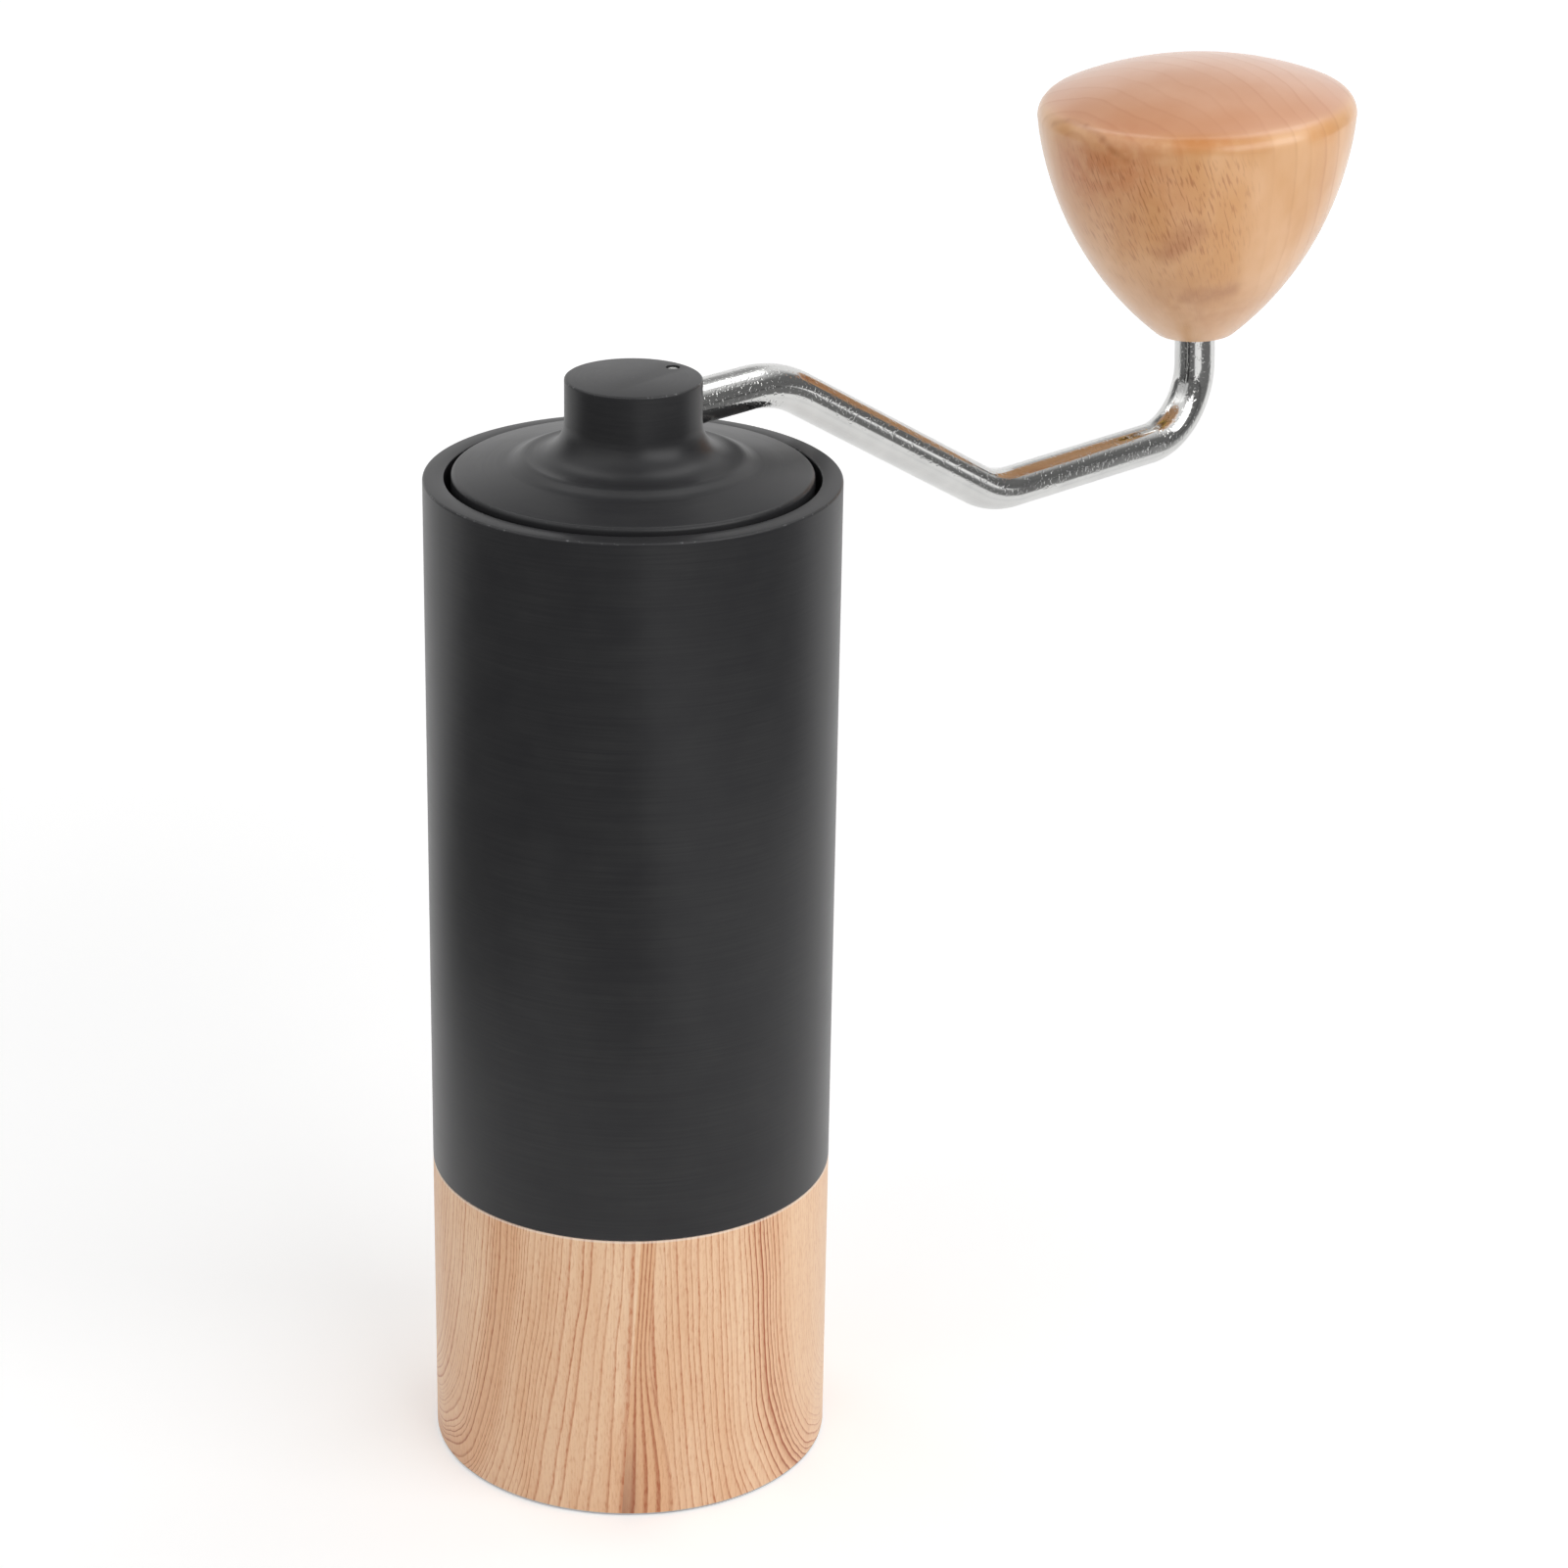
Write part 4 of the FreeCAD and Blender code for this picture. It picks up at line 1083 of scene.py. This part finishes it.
@dataclass
class CrankLid:
    """The turned black hub and cover, bored for the rod, the pin and the socket."""

    hub_r: float = 9.0
    hub_top_z: float = 154.1
    hub_break: float = 0.3
    hub_foot_z: float = 143.75
    flare: float = 4.8
    shoulder: tuple = (14.5, 143.65)
    valley: tuple = (16.2, 142.75)
    lip: tuple = (23.8, 141.5)
    bottom_z: float = 137.0
    socket_r: float = 7.03
    socket_top_z: float = 144.0
    rod_r: float = 3.03
    rod_z: float = ROD_Z
    rod_start_x: float = ROD_START_X
    pin_r: float = 0.93
    pin_x: float = PIN_X
    pin_bottom_z: float = PIN_BOTTOM_Z

    def build(self) -> Piece:
        """Turn the lid, bore it and dress it."""
        outline = [
            Corner(self.hub_r, self.hub_top_z, self.hub_break),
            Corner(self.hub_r, self.hub_foot_z, self.flare, 16),
            Corner(*self.shoulder, 2.0, 6),
            Corner(*self.valley, 4.0, 8),
            Corner(*self.lip, 0.7, 6),
            Corner(self.lip[0], self.bottom_z, 0.2),
            Corner(self.socket_r, self.bottom_z),
            Corner(self.socket_r, self.socket_top_z),
            Corner(0.0, self.socket_top_z),
        ]
        piece = lathe("turned_lid", outline)
        rod_start = Vector((self.rod_start_x, 0, self.rod_z))
        drill(piece, self.rod_r, rod_start, Vector((1, 0, 0)), self.valley[0] - self.rod_start_x)
        pin_start = Vector((self.pin_x, 0, self.pin_bottom_z))
        drill(piece, self.pin_r, pin_start, Vector((0, 0, 1)),
              self.hub_top_z - self.pin_bottom_z + 1.0)
        edges = ((self.hub_r, self.hub_top_z), self.lip, (0.0, self.hub_top_z))
        finish = BlackAnodised("black_anodised_lid", Slot.BLACK, edges=edges, rough=(0.34, 0.4),
                               ior=1.36)
        return hand_over(piece, Body.CRANK, "crank_lid", finish)


@dataclass
class CrankRod:
    """The bent rod, from the hub out and down, along, and up into the knob."""

    radius: float = 3.0
    sides: int = 48
    start_x: float = ROD_START_X
    hub_z: float = ROD_Z
    first_x: float = 25.8
    second_x: float = 70.0
    low_z: float = 123.0
    reach: float = KNOB_X
    knob_z: float = KNOB_Z
    lean: float = KNOB_LEAN
    tip: float = 25.0
    bends: tuple = (20.0, 16.0, 10.0)
    groove_start: float = 21.0
    groove_width: float = 0.9
    groove_r: float = 2.4
    step: float = math.radians(3.0)

    def knob_way(self) -> Vector:
        """The direction of the knob's axis, up from its foot."""
        return Vector((-math.sin(self.lean), 0, math.cos(self.lean)))

    def on_knob_axis(self, distance: float) -> Vector:
        """A point of the knob's axis, measured up from the knob's foot."""
        return Vector((self.reach, 0, self.knob_z)) + self.knob_way() * distance

    def build(self) -> Piece:
        """Pull a circle along the rod's line: out straight, and round each bend by a spin."""
        below = (self.knob_z - self.low_z) / math.cos(self.lean)
        line = [
            Vector((self.start_x, 0, self.hub_z)),
            Vector((self.first_x, 0, self.hub_z)),
            Vector((self.second_x, 0, self.low_z)),
            self.on_knob_axis(-below),
            self.on_knob_axis(self.groove_start),
        ]
        start_clean()
        quarter = math.radians(90.0)
        bpy.ops.mesh.primitive_circle_add(vertices=self.sides, radius=self.radius * MM,
                                          fill_type="NGON", location=line[0] * MM,
                                          rotation=(0, quarter, 0))
        piece = bpy.context.object
        piece.name = "bent_rod"
        piece.data.name = piece.name
        bpy.ops.object.transform_apply()
        bpy.ops.object.mode_set(mode="EDIT")
        bpy.ops.mesh.delete(type="ONLY_FACE")
        bpy.ops.mesh.select_all(action="SELECT")
        pen = line[0]
        for index, radius in enumerate(self.bends):
            pen = self.bend(pen, line[index], line[index + 1], line[index + 2], radius)
        self.pull(line[-1] - pen)
        self.groove(line[-1])
        bpy.ops.mesh.edge_face_add()
        pick_points(piece, lambda point: abs(point.x - self.start_x) < NEAR)
        bpy.ops.mesh.edge_face_add()
        close_mesh(piece)
        finish = Metal("polished_stainless_rod", Slot.ROD, colour="#D8D8D6", dull="#C6C6C5",
                       rough=(0.06, 0.15), line_mm=0.3, line_depth=0.002, pit_depth=0.034,
                       line_way=(0.0, 1.0, 0.0))
        return hand_over(piece, Body.CRANK, "crank_rod", finish)

    def pull(self, way: Vector) -> None:
        """Extrude the open end along a straight run."""
        bpy.ops.mesh.extrude_region_move(TRANSFORM_OT_translate={"value": way * MM})

    def bend(self, pen: Vector, before: Vector, corner: Vector, after: Vector,
             radius: float) -> Vector:
        """Run straight up to a bend and round it.

        Args:
            pen: Where the open end is.
            before: The corner before this one.
            corner: The corner of the rod's line that the bend rounds.
            after: The corner after it.
            radius: The bend's radius.

        Returns:
            Where the open end is after the bend.
        """
        way_in = (corner - before).normalized()
        way_out = (after - corner).normalized()
        turn = way_in.angle(way_out)
        tangent = radius * math.tan(turn / 2)
        start = corner - way_in * tangent
        self.pull(start - pen)
        axis = way_in.cross(way_out).normalized()
        centre = start + axis.cross(way_in) * radius
        steps = max(4, round(turn / self.step))
        bpy.ops.mesh.spin(steps=steps, angle=-turn, center=centre * MM, axis=axis)
        return corner + way_out * tangent

    def groove(self, place: Vector) -> None:
        """Cut the snap ring's groove near the tip, and run out to the tip.

        Args:
            place: Where the groove starts, on the rod's line.
        """
        share = self.groove_r / self.radius
        up = self.knob_way()
        past = self.tip - self.groove_start - self.groove_width
        for scale, run in ((share, self.groove_width), (1 / share, past)):
            self.pull(Vector((0, 0, 0)))
            bpy.ops.transform.resize(value=(scale, scale, scale), center_override=place * MM)
            self.pull(up * run)
            place = place + up * run


@dataclass
class HubPin:
    """The bright pin that shows on top of the hub."""

    radius: float = 0.9
    bottom_z: float = PIN_BOTTOM_Z
    top_z: float = 153.95
    dome: float = 0.2
    x: float = PIN_X

    def build(self) -> Piece:
        """Turn the pin with a domed end, set it out along X and dress it."""
        outline = [Corner(self.radius, self.bottom_z)]
        outline.extend(arc((self.radius, self.top_z - self.dome), (0.0, self.top_z), 0.12, 5))
        piece = lathe("hub_pin", outline, sides=32)
        bpy.ops.object.mode_set(mode="EDIT")
        bpy.ops.mesh.select_all(action="SELECT")
        bpy.ops.transform.translate(value=(self.x * MM, 0, 0))
        start_clean()
        return hand_over(piece, Body.CRANK, "lock_pin", STEEL)


@dataclass
class BeechKnob:
    """The wooden knob on its leaning axis: convex flanks, a soft edge and a shallow dome."""

    reach: float = KNOB_X
    bottom_z: float = KNOB_Z
    lean: float = KNOB_LEAN
    foot_r: float = 6.0
    foot_round: float = 0.3
    widest: tuple = (23.12, 32.7)
    flank_bulge: float = 3.5
    edge: tuple = (21.25, 35.8)
    edge_bulge: float = 0.6
    top: float = 40.2
    bush_r: float = 4.5
    step_height: float = 22.1
    rod_r: float = 3.1
    bore_height: float = 26.0

    def dome_bulge(self) -> float:
        """How far the dome stands out from its chord, as part of a ball centred on the axis."""
        rise = self.top - self.edge[1]
        ball_r = (self.edge[0] ** 2 + rise ** 2) / (2 * rise)
        half_chord = math.hypot(self.edge[0], rise) / 2
        return ball_r - math.sqrt(ball_r ** 2 - half_chord ** 2)

    def build(self) -> Piece:
        """Turn the knob upright, lean it over and dress it."""
        flank = arc((self.foot_r, 0.0), self.widest, self.flank_bulge, 22)
        brim = arc(self.widest, self.edge, self.edge_bulge, 8)
        dome = arc(self.edge, (0.0, self.top), self.dome_bulge(), 16)
        outline = [
            Corner(self.rod_r, self.bore_height),
            Corner(self.rod_r, self.step_height),
            Corner(self.bush_r, self.step_height),
            Corner(self.bush_r, 0.0),
            Corner(self.foot_r, 0.0, self.foot_round),
            *flank[1:-1],
            *brim[1:],
            *dome[1:],
        ]
        piece = lathe("beech_knob", outline)
        piece.rotation_euler = (0, -self.lean, 0)
        piece.location = Vector((self.reach, 0, self.bottom_z)) * MM
        bpy.ops.object.transform_apply()
        finish = LacqueredBeech("lacquered_beech_knob", Slot.BEECH,
                                centre=(self.reach, 0, self.bottom_z), turn=(0, -self.lean, 0))
        return hand_over(piece, Body.KNOB, "knob", finish)


@dataclass
class Workings:
    """The pieces inside, which keep their shape from the frame and get their finishes."""

    finishes: tuple = (
        STEEL,
        Metal("ground_burr_steel", Slot.BURR, colour="#A8A6A2", dull="#86847F", rough=(0.3, 0.42)),
        Metal("spring_steel_wire", Slot.SPRING, colour="#B4B2AE", dull="#8E8C88",
              rough=(0.22, 0.34)),
        Metal("blasted_dial_aluminium", Slot.DIAL, colour="#BFC1C4", dull="#A6A8AC",
              rough=(0.36, 0.5)),
        Metal("turned_brass", Slot.BRASS, colour="#D9B56B", dull="#B58D48", rough=(0.2, 0.34)),
        Moulded("moulded_dark_nylon", Slot.NYLON),
        Moulded("moulded_black_rubber", Slot.RUBBER, colour="#161616", scuff="#2A2A2A",
                rough=(0.6, 0.75), grain_mm=0.5),
    )

    def dress(self) -> None:
        """Give each node that is still shown the finish of its slot."""
        by_slot = {finish.slot.value: finish for finish in self.finishes}
        slots = {part["node"]: part["material_slot"] for part in frame["record"]["subparts"]}
        for name, piece in frame["nodes"].items():
            if piece.hide_render:
                continue
            finish = by_slot[slots[name]]
            for slot in piece.material_slots:
                slot.material = finish.material()
            LOG.info("%s: kept from the frame, %s", name, finish.name)


def from_view(right: float, away: float, up: float) -> Vector:
    """A direction or place as the viewer has it, in the part's frame."""
    return Matrix.Rotation(-CRANK_TURN, 3, "Z") @ Vector((right, away, up))


@dataclass(frozen=True)
class Softbox:
    """A lamp behind cloth: its place as the viewer has it, its size and its power in watts."""

    name: str
    place: tuple
    size: tuple
    power: float


@dataclass
class Studio:
    """A pale floor, soft light from above and both sides, and the camera of the photograph."""

    aim: tuple = (0.03, 0.0, 0.1)
    floor_size: float = 8.0
    floor_colour: str = "#F4F4F4"
    floor_gap: float = 0.00005
    floor_reach: tuple = (0.2, 2.0)
    floor_lift: tuple = (0.28, 0.75)
    floor_shine: tuple = (0.2, 0.75)
    # Where the floor's painted shade in reflections starts and ends: in front, aside, left, right
    # and at the back.
    shade_front: tuple = (0.11, 0.17)
    shade_aside: tuple = (0.08, 0.03)
    shade_left: tuple = (-0.1, -0.2)
    shade_right: tuple = (0.26, 0.33)
    shade_back: tuple = (-0.2, -0.05)
    shade_colour: str = "#7C7C7C"
    sky_level: float = 0.42
    room_level: float = 0.17
    room_away: tuple = (0.75, 0.45)
    room_low: tuple = (0.75, 0.4)
    gap_level: float = 0.35
    gap_way: tuple = (0.0, 0.669, 0.743)
    gap_near: tuple = (0.88, 0.98)
    strip_level: float = 0.2
    strip_aside: float = -0.06
    strip_width: tuple = (0.3, 0.12)
    strip_high: tuple = (0.45, 0.62)
    strip_past: tuple = (-0.5, -0.2)
    boxes: tuple = (
        Softbox("softbox_left", (-0.8, -0.45, 0.75), (1.6, 1.0), 2.5),
        Softbox("softbox_right", (0.8, -0.7, 0.75), (1.3, 0.6), 7.3),
        Softbox("softbox_above_left", (-0.4, 0.4, 1.3), (0.3, 1.0), 1.6),
        Softbox("softbox_above_right", (0.5, 0.35, 1.3), (0.5, 1.0), 2.5),
    )
    camera_away: float = 0.52487
    camera_up: float = 0.31184
    camera_yaw: float = math.radians(2.2274)
    camera_pitch: float = math.radians(22.2155)
    camera_roll: float = math.radians(1.0180)
    lens: float = 96.72

    def build(self) -> None:
        """Set up the floor, the sky, the lamps and the camera."""
        self.floor()
        self.sky()
        for box in self.boxes:
            self.lamp(box)
        self.camera()
        bpy.context.scene.view_settings.view_transform = "Standard"

    def floor(self) -> None:
        """A pale floor that keeps the object's shadow and is lifted to white for the camera.

        In reflections its colour is darkened by a painted shade on both sides, and in front where
        no lamp lights it.
        """
        start_clean()
        bpy.ops.mesh.primitive_plane_add(size=self.floor_size, location=(0, 0, -self.floor_gap))
        piece = bpy.context.object
        piece.name = "studio_floor"
        made = bpy.data.materials.new("pale_studio_floor")
        made.use_nodes = True
        tree = made.node_tree
        tree.nodes.clear()
        path = add(Node.PATH, tree=tree).node.outputs
        place = add(Node.PLACE, out="Object", tree=tree)
        far = add(Node.LENGTH, place)
        front = add(Node.DOT, place, from_view(0.0, -1.0, 0.0))
        aside = add(Node.DOT, place, from_view(1.0, 0.0, 0.0))
        # Painted shade: in reflections the floor's colour is darkened in front and at both sides,
        # where less light falls.
        ends = ((front, self.shade_front), (aside, self.shade_aside), (aside, self.shade_left),
                (aside, self.shade_right), (front, self.shade_back))
        unlit, dark, left, right, back = [add(Node.SMOOTH, value, *end) for value, end in ends]
        unlit = add(Node.TIMES, unlit, dark)
        past = add(Node.LARGER, left, right)
        past = add(Node.TIMES, past, back)
        dim = add(Node.LARGER, unlit, past)
        dim = add(Node.TIMES, dim, path["Is Glossy Ray"])
        paint = lay_tints(linear(self.floor_colour), [(dim, 1.0, self.shade_colour)])
        paint = add(Node.DIFFUSE, {"Color": paint})
        lift = 0.0
        lifts = (("Is Camera Ray", self.floor_lift), ("Is Glossy Ray", self.floor_shine))
        for ray, ends in lifts:
            part = add(Node.RANGE, far, *self.floor_reach, *ends)
            lift = add(Node.TIMES_PLUS, path[ray], part, lift)
        lit = add(Node.MINUS, 1.0, dim)
        lift = add(Node.TIMES, lift, lit)
        glow = add(Node.GLOW, {"Strength": lift})
        add(Node.OUTPUT, {"Surface": add(Node.SUM, paint, glow)})
        piece.data.materials.append(made)

    def sky(self) -> None:
        """White for the camera, even for soft light, and in reflections a tent with dark parts.

        The dark parts are the room in front of the table, low down on the viewer's side, the gap
        between the backdrop and the lamps above, and the strip of ceiling between those lamps.
        """
        world = bpy.data.worlds.new("studio_tent")
        bpy.context.scene.world = world
        world.use_nodes = True
        tree = world.node_tree
        tree.nodes.clear()
        path = add(Node.PATH, tree=tree).node.outputs
        way = add(Node.PLACE, out="Generated", tree=tree)
        height = add(Node.SPLIT, way, out="Z")
        away = add(Node.DOT, way, from_view(0.0, 1.0, 0.0))
        above = add(Node.DOT, way, from_view(*self.gap_way))
        aside = add(Node.DOT, way, from_view(1.0, 0.0, 0.0))
        aside = add(Node.MINUS, aside, self.strip_aside)
        aside = add(Node.ABSOLUTE, aside)
        ends = ((away, self.room_away), (height, self.room_low), (above, self.gap_near),
                (aside, self.strip_width), (height, self.strip_high), (away, self.strip_past))
        near, low, gap, strip, high, past = [add(Node.SMOOTH, value, *end) for value, end in ends]
        room = add(Node.TIMES, near, low)
        strip = add(Node.TIMES, strip, high)
        strip = add(Node.TIMES, strip, past)
        mirrored = 1.0
        levels = ((room, self.room_level), (gap, self.gap_level), (strip, self.strip_level))
        for part, shine in levels:
            part = add(Node.RANGE, part, 0.0, 1.0, 1.0, shine)
            mirrored = add(Node.SMALLER, mirrored, part)
        level = self.sky_level
        for share, shine in ((path["Is Glossy Ray"], mirrored), (path["Is Transmission Ray"], 1.0),
                             (path["Is Camera Ray"], 1.0)):
            level = add(Node.BLEND, {0: share, 2: level, 3: shine})
        white = add(Node.SKY, {"Color": linear("#FFFFFF"), "Strength": level})
        add(Node.WORLD, {"Surface": white})

    def lamp(self, box: Softbox) -> None:
        """Hang one softbox and turn it towards the grinder."""
        data = bpy.data.lights.new(box.name, "AREA")
        data.shape = "RECTANGLE"
        data.size, data.size_y = box.size
        data.energy = box.power
        lamp = bpy.data.objects.new(box.name, data)
        bpy.context.scene.collection.objects.link(lamp)
        lamp.location = from_view(*box.place)
        way = Vector(self.aim) - lamp.location
        lamp.rotation_euler = way.to_track_quat("-Z", "Y").to_euler()

    def camera(self) -> None:
        """Stand the camera where the photograph was taken from."""
        data = bpy.data.cameras.new("photo_camera")
        data.lens = self.lens
        data.clip_end = self.floor_size * 4
        camera = bpy.data.objects.new("photo_camera", data)
        bpy.context.scene.collection.objects.link(camera)
        heading = Matrix.Rotation(-CRANK_TURN - self.camera_yaw, 4, "Z")
        pitch = Matrix.Rotation(math.radians(90.0) - self.camera_pitch, 4, "X")
        roll = Matrix.Rotation(self.camera_roll, 4, "Z")
        place = Matrix.Translation(from_view(0.0, -self.camera_away, self.camera_up))
        camera.matrix_world = place @ heading @ pitch @ roll
        bpy.context.scene.camera = camera


def main() -> None:
    """Build and dress every piece in order, then the studio round them."""
    logging.basicConfig(level=logging.INFO, format="%(name)s %(message)s")
    for assembly in (BodyTube(), CatchCup(), CrankLid(), CrankRod(), HubPin(), BeechKnob()):
        assembly.build()
    Workings().dress()
    Studio().build()


if __name__ == "__main__":
    main()
